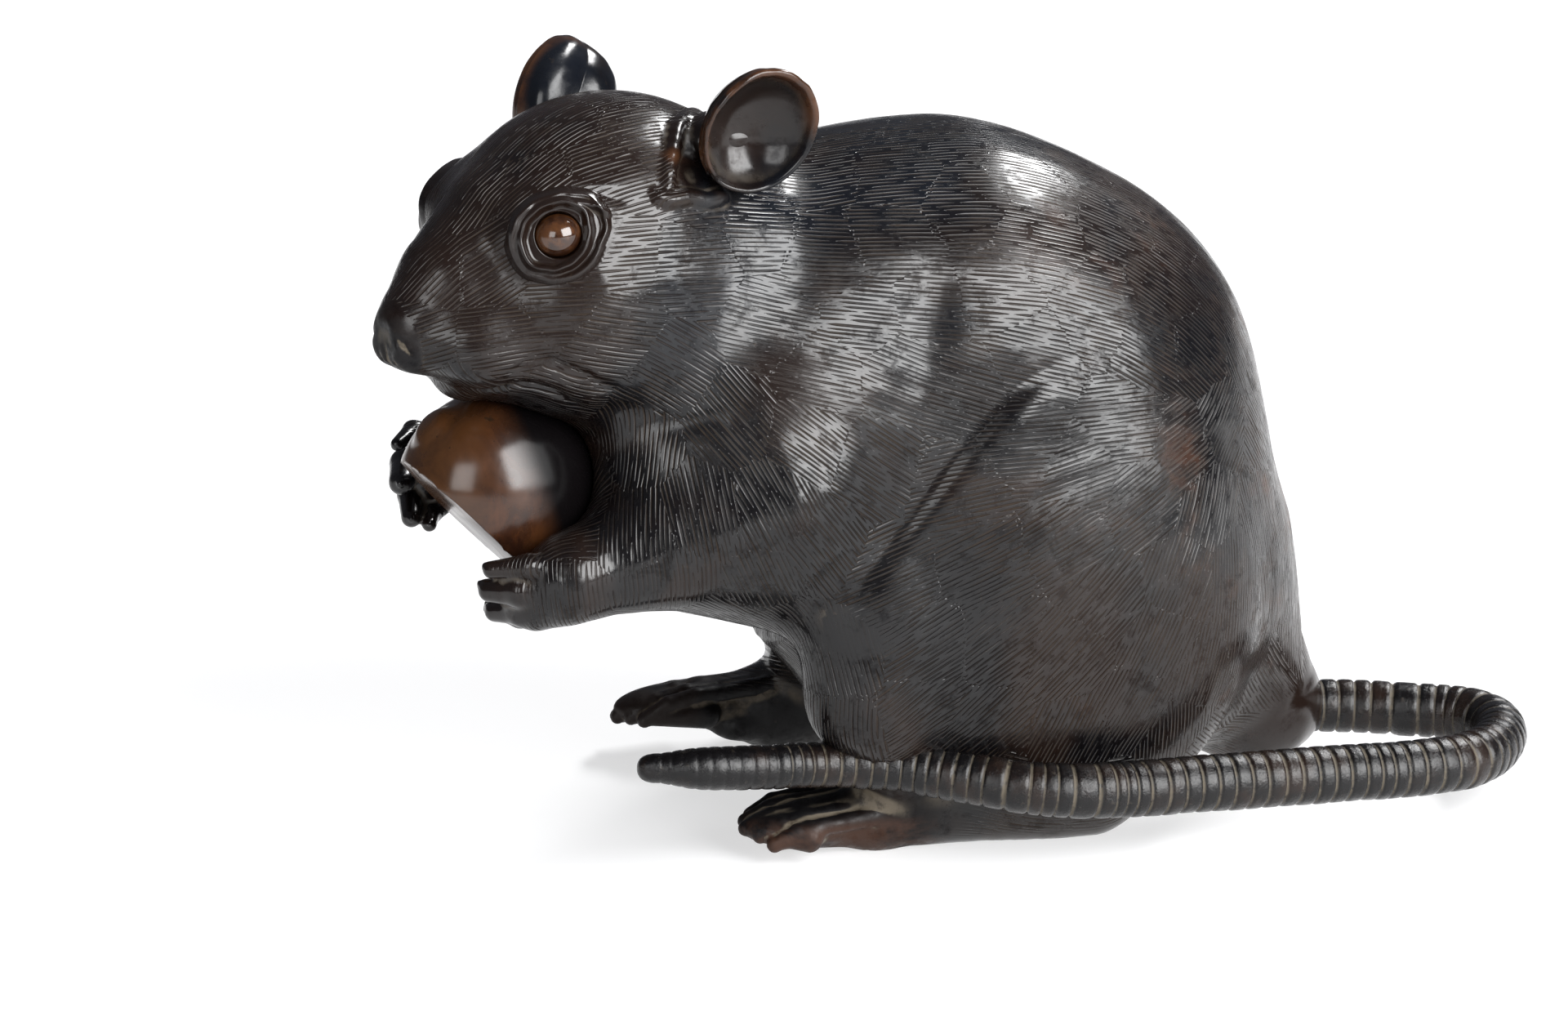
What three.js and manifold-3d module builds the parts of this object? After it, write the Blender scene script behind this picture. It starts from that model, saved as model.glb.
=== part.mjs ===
// A cast bronze rat, crouching on its haunches with a chestnut between its forepaws, about life size.
// Millimetres, +Z up. The rat faces -X and its own left side is towards -Y; the origin is on the
// ground under the middle of the piece.
import * as THREE from "three";
import { mergeVertices } from "three/addons/utils/BufferGeometryUtils.js";
import Module from "manifold-3d";

const wasm = await Module();
wasm.setup();

// Driving sizes
const middle = new THREE.Vector3(23.02, -0.84, 0); // of the whole piece, from the ground under the neck
const castingGap = 0.3; // between the rat and the chestnut
const eyeSize = { ball: 3.2, lid: 1.1, longer: 1.18 };
const ear = { halfWidth: 7.9, halfHeight: 10.4, depth: 5.6, wall: 1.7 };
const footAt = { left: -20, right: 33 }; // the middle of each hind foot across the body
const toe = { thick: 2.3, thin: 1.7, apart: 2.3, reach: { left: 11.6, right: 15.3 } };
const tailSize = { rings: 64, sides: 7, root: 4.1, tip: 3, ringDepth: 0.45, rootRingsWider: 0.22 };
const nut = { centre: [-46.5, -12.6, 56.4], long: 14.6, wide: 14.4, thick: 12.6, flatAt: 6.4 };
const skinGrid = { fine: 3.5, coarse: 6.2, cross: 5.25 }; // spacing ahead of the shoulder, behind it, across

// The head is turned to the rat's left about a point in the neck.
const headTurn = THREE.MathUtils.degToRad(19);
const neckPivot = new THREE.Vector3(-5, 0, 0);

// A point of the head from its distance ahead of the neck, to the left, and its height.
function onHead(ahead, left, height) {
  return new THREE.Vector3(-ahead, -left, height)
    .applyAxisAngle(new THREE.Vector3(0, 0, 1), headTurn)
    .add(neckPivot);
}

const at = (x, y, z) => new THREE.Vector3(x, y, z);

// An egg-shaped lump of wax: radii along X, Y and Z before it is pitched about Y and turned about Z;
// melt is how widely it runs into the lumps before it.
function egg(centre, radii, melt, { pitch = 0, turn = 0 } = {}) {
  const turned = new THREE.Euler(0, THREE.MathUtils.degToRad(pitch), turn, "ZYX");
  const back = new THREE.Matrix4().makeRotationFromEuler(turned).transpose();
  const p = new THREE.Vector3();
  const [a, b, c] = radii;
  const reach = (point) => {
    p.copy(point).sub(centre).applyMatrix4(back);
    const near = Math.hypot(p.x / a, p.y / b, p.z / c);
    const slope = Math.hypot(p.x / (a * a), p.y / (b * b), p.z / (c * c));
    return slope < 1e-9 ? -Math.min(a, b, c) : (near * (near - 1)) / slope;
  };
  return { reach, melt };
}

// A rounded bar that tapers from one end to the other.
function bar(from, to, [thick, thin], melt) {
  const along = to.clone().sub(from);
  const length = along.length();
  along.normalize();
  const p = new THREE.Vector3();
  const reach = (point) => {
    p.copy(point).sub(from);
    const run = THREE.MathUtils.clamp(p.dot(along) / length, 0, 1);
    p.addScaledVector(along, -run * length);
    return p.length() - THREE.MathUtils.lerp(thick, thin, run);
  };
  return { reach, melt };
}

// How far a point is outside all the lumps, which run into each other as soft wax does.
function outside(lumps, point) {
  let far = Infinity;
  for (const { reach, melt } of lumps) {
    const here = reach(point);
    const soft = Math.max(melt - Math.abs(far - here), 0) / melt;
    far = Math.min(far, here) - (soft * soft * melt) / 4;
  }
  return far;
}

// The slope of that distance at a point
function slopeAt(lumps, point) {
  const reach = 0.05;
  const slope = new THREE.Vector3();
  for (let axis = 0; axis < 3; axis++) {
    const step = new THREE.Vector3().setComponent(axis, reach);
    const ahead = outside(lumps, point.clone().add(step));
    const behind = outside(lumps, point.clone().sub(step));
    slope.setComponent(axis, (ahead - behind) / (2 * reach));
  }
  return slope;
}

// A point near the skin is moved on to it in a few short pushes.
function pushToSkin(lumps, point) {
  const longest = 0.8;
  for (let push = 0; push < 3; push++) {
    const slope = slopeAt(lumps, point);
    const move = -outside(lumps, point) / Math.max(slope.lengthSq(), 0.2);
    point.addScaledVector(slope, THREE.MathUtils.clamp(move, -longest, longest));
  }
}

// Grid lines from one end to another, close together up to a turning point and wider after it.
function gridLines(from, turning, to, fine, coarse) {
  const lines = [];
  for (let line = from; line < to; line += line < turning ? fine : coarse) lines.push(line);
  return [...lines, to];
}

// The skin of the lumps on a grid of such lines, as one closed mesh of small quads.
function skinOf(lumps, [xs, ys, zs]) {
  const [nx, ny, nz] = [xs.length, ys.length, zs.length];
  const index = (i, j, k) => i + nx * (j + ny * k);
  const corner = (i, j, k) => new THREE.Vector3(xs[i], ys[j], zs[k]);
  const far = new Float32Array(nx * ny * nz);
  for (let k = 0; k < nz; k++)
    for (let j = 0; j < ny; j++)
      for (let i = 0; i < nx; i++)
        far[index(i, j, k)] = outside(lumps, corner(i, j, k)) || 1e-6;

  const steps = [[1, 0, 0], [0, 1, 0], [0, 0, 1]];

  // One vertex in each cell that the skin passes through
  const vertexOf = new Int32Array(nx * ny * nz).fill(-1);
  const places = [];
  for (let k = 0; k < nz - 1; k++)
    for (let j = 0; j < ny - 1; j++)
      for (let i = 0; i < nx - 1; i++) {
        const sum = new THREE.Vector3();
        const origin = corner(i, j, k);
        const cell = corner(i + 1, j + 1, k + 1).sub(origin);
        let crossings = 0;
        steps.forEach(([si, sj, sk], axis) => {
          for (const u of [0, 1])
            for (const v of [0, 1]) {
              const [ai, aj, ak] = axis === 0 ? [0, u, v] : axis === 1 ? [u, 0, v] : [u, v, 0];
              const a = far[index(i + ai, j + aj, k + ak)];
              const b = far[index(i + ai + si, j + aj + sj, k + ak + sk)];
              if (a > 0 === b > 0) continue;
              const run = a / (a - b);
              sum.add(new THREE.Vector3(ai + si * run, aj + sj * run, ak + sk * run));
              crossings++;
            }
        });
        if (!crossings) continue;
        const p = sum.divideScalar(crossings).multiply(cell).add(origin);
        pushToSkin(lumps, p);
        vertexOf[index(i, j, k)] = places.length;
        places.push(p);
      }

  // One quad round each grid edge that the skin crosses
  const faces = [];
  for (let k = 1; k < nz - 1; k++)
    for (let j = 1; j < ny - 1; j++)
      for (let i = 1; i < nx - 1; i++)
        steps.forEach(([si, sj, sk], axis) => {
          const a = far[index(i, j, k)];
          const b = far[index(i + si, j + sj, k + sk)];
          if (a > 0 === b > 0) return;
          const u = steps[(axis + 1) % 3];
          const v = steps[(axis + 2) % 3];
          const around = ([p, q]) =>
            vertexOf[index(i - p * u[0] - q * v[0], j - p * u[1] - q * v[1], k - p * u[2] - q * v[2])];
          const round = [[0, 0], [1, 0], [1, 1], [0, 1]].map(around);
          if (a > 0) round.reverse();
          const [c0, c1, c2, c3] = round;
          const short = places[c0].distanceTo(places[c2]) < places[c1].distanceTo(places[c3]);
          if (short) faces.push(c0, c1, c2, c0, c2, c3);
          else faces.push(c1, c2, c3, c1, c3, c0);
        });
  return new THREE.BufferGeometry()
    .setAttribute("position", new THREE.Float32BufferAttribute(places.flatMap((p) => p.toArray()), 3))
    .setIndex(faces);
}

// A three.js geometry as a solid that can be joined and cut, and back
function solid(geometry) {
  const bare = geometry.clone();
  bare.deleteAttribute("normal");
  bare.deleteAttribute("uv");
  const merged = mergeVertices(bare, 1e-4);
  return new wasm.Manifold(
    new wasm.Mesh({
      numProp: 3,
      vertProperties: merged.attributes.position.array,
      triVerts: new Uint32Array(merged.index.array),
    }),
  );
}

function geometryOf(made) {
  const mesh = made.getMesh();
  return new THREE.BufferGeometry()
    .setAttribute("position", new THREE.BufferAttribute(mesh.vertProperties, 3))
    .setIndex(new THREE.BufferAttribute(mesh.triVerts, 1));
}

// Rump, back, withers, chest and neck
const trunk = [
  egg(at(38, 0, 36), [39, 35, 37], 1),
  egg(at(40.5, 0, 62.2), [31.3, 31, 32.6], 12),
  egg(at(21, 0, 70), [32, 31, 32.5], 14),
  egg(at(0, 0, 62), [27, 27, 32], 14),
  bar(at(20, 0, 76), at(-10, -3, 80), [24, 21], 12),
];

// Skull, muzzle, throat, jaw, bridge of the nose and nose, then both cheeks, lips and brows
const turned = { turn: headTurn };
const head = [
  egg(onHead(26, 0, 91), [25, 20, 21.5], 10, turned),
  bar(onHead(38, 0, 87), onHead(55, 0, 82.5), [15.5, 7], 6),
  bar(onHead(10, 0, 73), onHead(34, 0, 80), [18, 12], 8),
  bar(onHead(36, 0, 77), onHead(49, 0, 75.5), [8, 4.5], 4),
  bar(onHead(50, 0, 89.3), onHead(58.6, 0, 85), [7, 4.5], 3),
  egg(onHead(59.5, 0, 81.8), [4.2, 5.2, 4.3], 3, turned),
];
for (const side of [1, -1])
  head.push(
    egg(onHead(30, 10 * side, 81), [16, 10, 12], 8, turned),
    egg(onHead(48, 6.5 * side, 80.5), [10, 6.5, 7], 4, turned),
    egg(onHead(41, 10.5 * side, 97), [8, 5.5, 5], 4, turned),
  );

// Shoulders, then the forearms and wrists: the right paw is held higher than the left
const forelegs = [
  egg(at(-6, -20, 58), [20, 13, 23], 10),
  egg(at(-6, 18, 60), [20, 13, 22], 10),
  bar(at(-10, -23, 54), at(-40, -28, 47), [14, 6], 6),
  bar(at(-40, -28, 47), at(-44.5, -26, 44), [5.8, 4.8], 3),
  egg(at(-20, -16, 57), [14, 13, 17], 8), // the chest beside the chestnut
  bar(at(-10, 20, 57), at(-42, 14, 53), [13, 5.8], 6),
  egg(at(-27, 9, 57), [8, 7, 8], 5), // the fold of skin between the right forearm and the chest
  bar(at(-42, 14, 53), at(-52, 8, 54), [5.5, 4.4], 3),
];

// Thigh, knee, shin, sole and ball of each hind leg; the left knee is drawn further forward
const hindLegs = [];
for (const [side, knee] of [
  [-1, at(7, -25, 34)],
  [1, at(16, 24, 31)],
]) {
  const y = side < 0 ? footAt.left : footAt.right;
  hindLegs.push(
    egg(at(32, 22 * side, 37), [31, 15.5, 37], 5, { pitch: -24 }),
    egg(knee, [12, 10, 16], 6, { pitch: -15 }),
    bar(at(knee.x - 3, 26 * side, 24), at(14, y, 9), [8, 6.5], 5),
    bar(at(40, y, 7), at(8, y, 6), [8.5, 6.5], 5),
    bar(at(8, y, 6), at(-3, y, 6), [6.5, 5], 3),
  );
}

const rumpBase = [
  bar(at(62, 0, 32), at(74.5, -1, 11.5), [16, 10.5], 10),
  bar(at(78, -1, 9.8), at(80.5, -1.2, 9.6), [6, 5.2], 2),
];

const lumps = [...trunk, ...head, ...forelegs, ...hindLegs, ...rumpBase];
const grid = [
  gridLines(-80, -2, 98, skinGrid.fine, skinGrid.coarse),
  gridLines(-52, 52, 52, skinGrid.cross, skinGrid.cross),
  gridLines(-8, -8, 122, skinGrid.cross, skinGrid.cross),
];
const bodySkin = solid(skinOf(lumps, grid));

// A loft through stations, each a centre and a radius; one side of every section is turned the same way.
function loft(stations, sides, side) {
  const places = [];
  const faces = [];
  stations.forEach(({ centre, radius }, row) => {
    const before = stations[Math.max(row - 1, 0)].centre;
    const after = stations[Math.min(row + 1, stations.length - 1)].centre;
    const along = after.clone().sub(before).normalize();
    const across = side.clone().addScaledVector(along, -side.dot(along)).normalize();
    const up = across.clone().cross(along);
    for (let i = 0; i < sides; i++) {
      const angle = (2 * Math.PI * (i + 0.5)) / sides;
      places.push(
        centre
          .clone()
          .addScaledVector(across, radius * Math.cos(angle))
          .addScaledVector(up, radius * Math.sin(angle)),
      );
    }
    if (!row) return;
    const [here, last] = [row * sides, (row - 1) * sides];
    for (let i = 0; i < sides; i++) {
      const next = (i + 1) % sides;
      faces.push(last + i, here + next, last + next, last + i, here + i, here + next);
    }
  });
  const [first, end] = [0, (stations.length - 1) * sides];
  for (let i = 1; i < sides - 1; i++) {
    faces.push(first, first + i, first + i + 1);
    faces.push(end, end + i + 1, end + i);
  }
  const geometry = new THREE.BufferGeometry()
    .setAttribute("position", new THREE.Float32BufferAttribute(places.flatMap((p) => p.toArray()), 3))
    .setIndex(faces);
  return solid(geometry);
}

// A finger or a toe through its joints, with a small claw at the end
function digit(joints, thick, thin) {
  const count = joints.length;
  const stations = joints.map((centre, i) => ({
    centre,
    radius: THREE.MathUtils.lerp(thick, thin, i / (count - 1)),
  }));
  const last = joints[count - 1];
  const ahead = last.clone().sub(joints[count - 2]).normalize();
  stations.push({ centre: last.clone().addScaledVector(ahead, thin * 0.8), radius: thin * 0.6 });
  stations.push({ centre: last.clone().addScaledVector(ahead, thin * 1.9), radius: thin * 0.22 });
  return loft(stations, 6, at(0, 1, 0.3));
}

// Toes of the hind feet, close together; the right foot is longer and stands higher at the instep.
const toes = [];
for (const [side, lift] of [["left", 0], ["right", 1.5]])
  for (let spread = -2; spread <= 2; spread++) {
    const y = footAt[side] + toe.apart * spread;
    const root = at(4 + 0.8 * spread, y, 7.5 + lift);
    const knuckle = at(-5 + 0.4 * spread, y, 7.4 + lift);
    const reach = toe.reach[side] - 1.1 * Math.abs(spread - 0.3);
    const tip = at(-reach, y - 0.3 * spread, 5.8 + lift / 3);
    toes.push(digit([root, knuckle, tip], toe.thick, toe.thin));
  }

// The fingers of the left paw lie under the chestnut, those of the right one round its far side.
const fingers = [
  digit([at(-41, -29.5, 49.5), at(-47, -29.5, 49.6), at(-49.8, -27, 48.6)], 2.3, 1.9),
  digit([at(-42, -28.5, 46), at(-47.5, -28, 45.8), at(-50, -25, 44.8)], 2.4, 1.9),
  digit([at(-42, -27, 43), at(-46.5, -25.5, 42.2), at(-48.6, -22, 41.3)], 2.4, 1.8),
  digit([at(-42, -24, 41.5), at(-45.5, -21, 40.2), at(-48, -15, 39.8)], 2.3, 1.7),
  digit([at(-48, 10, 59), at(-54, 8.5, 60.8), at(-57.2, 3.5, 60.6)], 2, 1.5),
  digit([at(-49, 10, 56), at(-55.5, 7.5, 55.6), at(-57.8, 2.5, 54.8)], 2, 1.5),
  digit([at(-49, 9, 53), at(-55, 6.5, 51.6), at(-57, 1.5, 51)], 2, 1.5),
  digit([at(-48, 8, 51), at(-52.5, 5, 48.6), at(-54.6, 0, 48.2)], 2, 1.5),
];

// A geometry moved to a place, its own Y turned to one direction and its Z towards another
function placed(geometry, centre, yTo, zTo) {
  const z = zTo.clone().addScaledVector(yTo, -zTo.dot(yTo)).normalize();
  const x = yTo.clone().cross(z);
  return geometry.applyMatrix4(new THREE.Matrix4().makeBasis(x, yTo, z).setPosition(centre));
}

// Ears: open oval cups with a rounded rim, set on edge in the skull; they lean out and open sideways.
// The right ear is turned less to the front than the left and leans further back.
function earCup(side) {
  const steps = 5;
  const outer = [];
  const inner = [];
  for (let i = 0; i <= steps; i++) {
    const angle = ((Math.PI / 2) * i) / steps;
    const [out, down] = [Math.sin(angle), Math.cos(angle)];
    outer.push(new THREE.Vector2(out * ear.halfWidth, -down * ear.depth));
    inner.push(new THREE.Vector2(out * (ear.halfWidth - ear.wall), -down * (ear.depth - ear.wall)));
  }
  const rim = new THREE.Vector2(ear.halfWidth - ear.wall / 2, ear.wall * 0.35);
  const cup = new THREE.LatheGeometry([...outer, rim, ...inner.reverse().slice(1)], 14);
  cup.scale(1, 1, ear.halfHeight / ear.halfWidth);
  const base = side > 0 ? onHead(14.9, 21.5, 108.7) : onHead(18.6, -21.5, 107);
  const opening = onHead(side > 0 ? 0.3 : 0, 0.9 * side, -0.25).sub(neckPivot).normalize();
  const lean = onHead(side > 0 ? -0.3 : -0.55, 0.4 * side, 1).sub(neckPivot);
  return solid(placed(cup, base, opening, lean));
}

// Eyes: a ball in a ring of swollen lids, which is longer than it is high
function eye(side) {
  const centre = onHead(43.5, 14.6 * side, 96.6);
  const out = onHead(50, 26 * side, 100).sub(centre).normalize();
  const ball = new THREE.IcosahedronGeometry(eyeSize.ball, 1).translate(...centre.toArray());
  const lids = new THREE.TorusGeometry(eyeSize.ball * 1.12, eyeSize.lid, 5, 12);
  lids.scale(eyeSize.longer, 1, 1);
  lids.rotateX(Math.PI / 2);
  placed(lids, centre.clone().addScaledVector(out, 0.6), out, at(0, 0, 1));
  return [solid(ball), solid(lids)];
}

// The tail: rings along a curve that leaves the rump, turns to the left side and comes forward
const tailPath = new THREE.CatmullRomCurve3([
  at(80, -1, 9.6),
  at(88.4, -2.5, 9.2),
  at(97.4, -6, 8.9),
  at(104.4, -9.6, 8.8),
  at(107.6, -14.5, 8.8),
  at(106.9, -20.8, 8.8),
  at(102.6, -28, 8.8),
  at(96.2, -33.2, 9),
  at(88.6, -35.4, 9.3),
  at(71, -36.5, 10),
  at(51, -37.6, 10.8),
  at(35, -38.8, 11.7),
  at(25.7, -37.3, 12.6),
  at(17.2, -33, 13.6),
  at(9, -29, 14.6),
  at(-0.8, -27.3, 15.5),
  at(-11, -28, 16.3),
  at(-20.8, -27.8, 16.9),
  at(-27.7, -26.5, 17.2),
]);

// Where along the tail a share of its rings has been counted: they are wider at the root
const alongTail = (share) => share * (1 + tailSize.rootRingsWider * (1 - share));

// The tail thickens a little on the way and tapers in its last part.
function tailRadius(run) {
  const taper = Math.max(0, (run - 0.6) / 0.4);
  const swell = 1 + 0.05 * Math.sin(Math.PI * Math.min(1, run / 0.8));
  return THREE.MathUtils.lerp(tailSize.root, tailSize.tip, taper) * swell;
}

const tailStations = [];
for (let half = 0; half <= 2 * tailSize.rings; half++) {
  const run = alongTail(half / (2 * tailSize.rings));
  const groove = half % 2 === 0 ? tailSize.ringDepth : 0;
  tailStations.push({ centre: tailPath.getPointAt(run), radius: tailRadius(run) - groove });
}
for (const [ahead, radius] of [[1.6, 1.9], [2.8, 0.7]]) {
  const centre = tailPath.getPointAt(1).addScaledVector(tailPath.getTangentAt(1), ahead);
  tailStations.push({ centre, radius });
}
const tail = loft(tailStations, tailSize.sides, at(0.03, -0.02, 1));

// The chestnut: a rounded nut with a blunt point and one flat side; grow is added all round.
function chestnut(grow) {
  const rows = 10;
  const profile = [];
  for (let i = 0; i <= rows; i++) {
    const angle = (Math.PI * i) / rows;
    const out = i % rows ? (nut.wide + grow) * Math.sin(angle) ** 0.86 : 0;
    const point = i ? 1 : 1.08;
    profile.push(new THREE.Vector2(out, -(nut.long + grow) * point * Math.cos(angle)));
  }
  const centre = at(...nut.centre);
  const dome = new THREE.LatheGeometry(profile, 18);
  dome.scale(1, 1, nut.thick / nut.wide);
  placed(dome, centre, at(0.68, 0.1, -0.72).normalize(), at(0, 1, 0));

  const cutter = { wide: 60, deep: 30 };
  const flat = new THREE.BoxGeometry(cutter.wide, cutter.wide, cutter.deep);
  const facing = at(-0.7, 0, -0.7).normalize();
  const away = nut.flatAt + grow + cutter.deep / 2;
  placed(flat, centre.addScaledVector(facing, away), at(0, 1, 0), facing);
  return solid(dome).subtract(solid(flat));
}

// The rat is one casting; its soles and the underside of the rump are level with the ground.
const underGround = new THREE.BoxGeometry(300, 300, 40).translate(0, 0, -20);
const pieces = [tail, ...toes, ...fingers, earCup(1), earCup(-1), ...eye(1), ...eye(-1)];
const casting = pieces
  .reduce((whole, piece) => whole.add(piece), bodySkin)
  .subtract(solid(underGround))
  .subtract(chestnut(castingGap));

const darkBronze = new THREE.MeshStandardMaterial({ color: 0x2a2320, roughness: 0.38, metalness: 0.85 });
const redBronze = new THREE.MeshStandardMaterial({ color: 0x6b3018, roughness: 0.25, metalness: 0.7 });

function named(name, geometry, material) {
  const mesh = new THREE.Mesh(geometry, material);
  mesh.name = name;
  return mesh;
}

const okimono = new THREE.Group();
okimono.add(
  named("rat", geometryOf(casting), darkBronze),
  named("chestnut", geometryOf(chestnut(0)), redBronze),
);
okimono.position.copy(middle).negate();
export default okimono;
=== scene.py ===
import math

import bpy
import numpy as np
from mathutils import Matrix, Vector, kdtree


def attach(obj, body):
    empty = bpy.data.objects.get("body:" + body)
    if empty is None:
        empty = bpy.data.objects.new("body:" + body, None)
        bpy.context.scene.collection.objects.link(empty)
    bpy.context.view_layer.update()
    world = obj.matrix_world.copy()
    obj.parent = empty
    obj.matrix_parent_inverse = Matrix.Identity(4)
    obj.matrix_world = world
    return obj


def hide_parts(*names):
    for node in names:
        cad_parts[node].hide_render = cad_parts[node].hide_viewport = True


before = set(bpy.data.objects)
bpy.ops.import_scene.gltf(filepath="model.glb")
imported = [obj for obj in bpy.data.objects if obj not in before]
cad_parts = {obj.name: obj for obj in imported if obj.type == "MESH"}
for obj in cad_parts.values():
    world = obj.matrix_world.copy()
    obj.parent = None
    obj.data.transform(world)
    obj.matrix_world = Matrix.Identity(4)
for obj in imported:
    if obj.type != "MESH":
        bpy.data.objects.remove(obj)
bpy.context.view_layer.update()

# Places are written in millimetres from the ground under the neck, as they are measured on the
# sculpture: X towards the rump, Y towards the right side, Z up.
mm = 0.001
wholeMiddle = np.array([23.02, -0.84, 0.0])  # middle of the piece, which is the frame's origin
rng = np.random.default_rng(7)

stroke = {"headTurn": 19, "neck": np.array([-5.0, 0.0, 0.0])}


def toFrame(points):
    return (np.asarray(points, float) - wholeMiddle) * mm


def turnHead(ahead, left, height):  # a direction on the head, in the body's axes
    turn = math.radians(stroke["headTurn"])
    ahead, left, height = (np.asarray(v, float) for v in (ahead, left, height))
    return np.stack([-ahead * math.cos(turn) + left * math.sin(turn),
                     -ahead * math.sin(turn) - left * math.cos(turn), height + 0 * ahead], -1)


def onHead(ahead, left, height):  # a place on the head: ahead of the neck, to its left, and up
    return turnHead(ahead, left, height) + stroke["neck"]


def unit(v):
    v = np.asarray(v, float)
    return v / np.maximum(np.linalg.norm(v, axis=-1, keepdims=True), 1e-9)


def smoothStep(low, high, value):
    t = np.clip((value - low) / (high - low), 0, 1)
    return t * t * (3 - 2 * t)


def ridgeAt(offset, width):  # 1 at the line, falling softly to 0 on both sides
    return np.exp(-(offset / width) ** 2)


def deselectAll():
    if bpy.context.object and bpy.context.object.mode != "OBJECT":
        bpy.ops.object.mode_set(mode="OBJECT")
    bpy.ops.object.select_all(action="DESELECT")


def makeActive(piece):
    deselectAll()
    piece.select_set(True)
    bpy.context.view_layer.objects.active = piece


def applyAll(piece):
    makeActive(piece)
    for modifier in list(piece.modifiers):
        bpy.ops.object.modifier_apply(modifier=modifier.name)


def meshPiece(name, points, faces):
    mesh = bpy.data.meshes.new(name)
    mesh.from_pydata(toFrame(points).tolist(), [], np.asarray(faces).tolist())
    piece = bpy.data.objects.new(name, mesh)
    bpy.context.collection.objects.link(piece)
    return piece


def smoothLine(places, count):  # evenly spaced points of a centripetal curve through places
    places = np.array(places, float)
    ends = [2 * places[0] - places[1], 2 * places[-1] - places[-2]]
    knots = np.vstack([ends[0], places, ends[1]])
    dense = []
    for p0, p1, p2, p3 in zip(knots, knots[1:], knots[2:], knots[3:]):
        t1 = np.linalg.norm(p1 - p0) ** 0.5
        t2 = t1 + np.linalg.norm(p2 - p1) ** 0.5
        t3 = t2 + np.linalg.norm(p3 - p2) ** 0.5
        for t in np.linspace(t1, t2, 24, endpoint=False):
            a1 = (t1 - t) / t1 * p0 + t / t1 * p1
            a2 = (t2 - t) / (t2 - t1) * p1 + (t - t1) / (t2 - t1) * p2
            a3 = (t3 - t) / (t3 - t2) * p2 + (t - t2) / (t3 - t2) * p3
            b1 = (t2 - t) / t2 * a1 + t / t2 * a2
            b2 = (t3 - t) / (t3 - t1) * a2 + (t - t1) / (t3 - t1) * a3
            dense.append((t2 - t) / (t2 - t1) * b1 + (t - t1) / (t2 - t1) * b2)
    dense = np.array(dense + [places[-1]])
    run = np.concatenate([[0], np.cumsum(np.linalg.norm(np.diff(dense, axis=0), axis=1))])
    wanted = np.linspace(0, run[-1], count)
    return np.stack([np.interp(wanted, run, dense[:, i]) for i in range(3)], 1)


# The rat is modelled as lumps of wax that melt into each other, then tooled.
def egg(centre, radii, melt, pitch=0.0, turn=0.0, cut=False):
    turned = np.array(Matrix.Rotation(turn, 3, "Z") @ Matrix.Rotation(math.radians(pitch), 3, "Y"))
    centre, radii = np.array(centre, float), np.array(radii, float)

    def reach(p):
        q = (p - centre) @ turned
        near = np.linalg.norm(q / radii, axis=1)
        slope = np.linalg.norm(q / radii ** 2, axis=1)
        return near * (near - 1) / np.maximum(slope, 1e-9)

    longest = radii.max()
    return {"reach": reach, "melt": melt, "cut": cut, "low": centre - longest, "high": centre + longest}


def bar(start, end, radii, melt, cut=False):
    start, end = np.array(start, float), np.array(end, float)
    along = end - start
    length = np.linalg.norm(along)
    along = along / length

    def reach(p):
        q = p - start
        run = np.clip(q @ along / length, 0, 1)
        away = np.linalg.norm(q - np.outer(run * length, along), axis=1)
        return away - radii[0] - (radii[1] - radii[0]) * run

    thick = max(radii)
    return {"reach": reach, "melt": melt, "cut": cut,
            "low": np.minimum(start, end) - thick, "high": np.maximum(start, end) + thick}


def ring(centre, axis, size, thick, melt):
    centre, axis = np.array(centre, float), unit(axis)

    def reach(p):
        q = p - centre
        along = q @ axis
        across = np.linalg.norm(q - np.outer(along, axis), axis=1)
        return np.hypot(across - size, along) - thick

    return {"reach": reach, "melt": melt, "cut": False,
            "low": centre - size - thick, "high": centre + size + thick}


def meltIn(far, here, lump):
    melt = lump["melt"]
    if lump["cut"]:
        soft = np.maximum(melt - np.abs(far + here), 0) / melt
        return np.maximum(far, -here) + soft ** 2 * melt / 4
    soft = np.maximum(melt - np.abs(far - here), 0) / melt
    return np.minimum(far, here) - soft ** 2 * melt / 4


def outside(lumps, p):  # how far points are outside the wax
    far = np.full(len(p), 50.0)
    for lump in lumps:
        room = lump["melt"] + 1.5
        close = np.nonzero(np.all((p > lump["low"] - room) & (p < lump["high"] + room), axis=1))[0]
        far[close] = meltIn(far[close], lump["reach"](p[close]), lump)
    return np.maximum(far, -p[:, 2])


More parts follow.
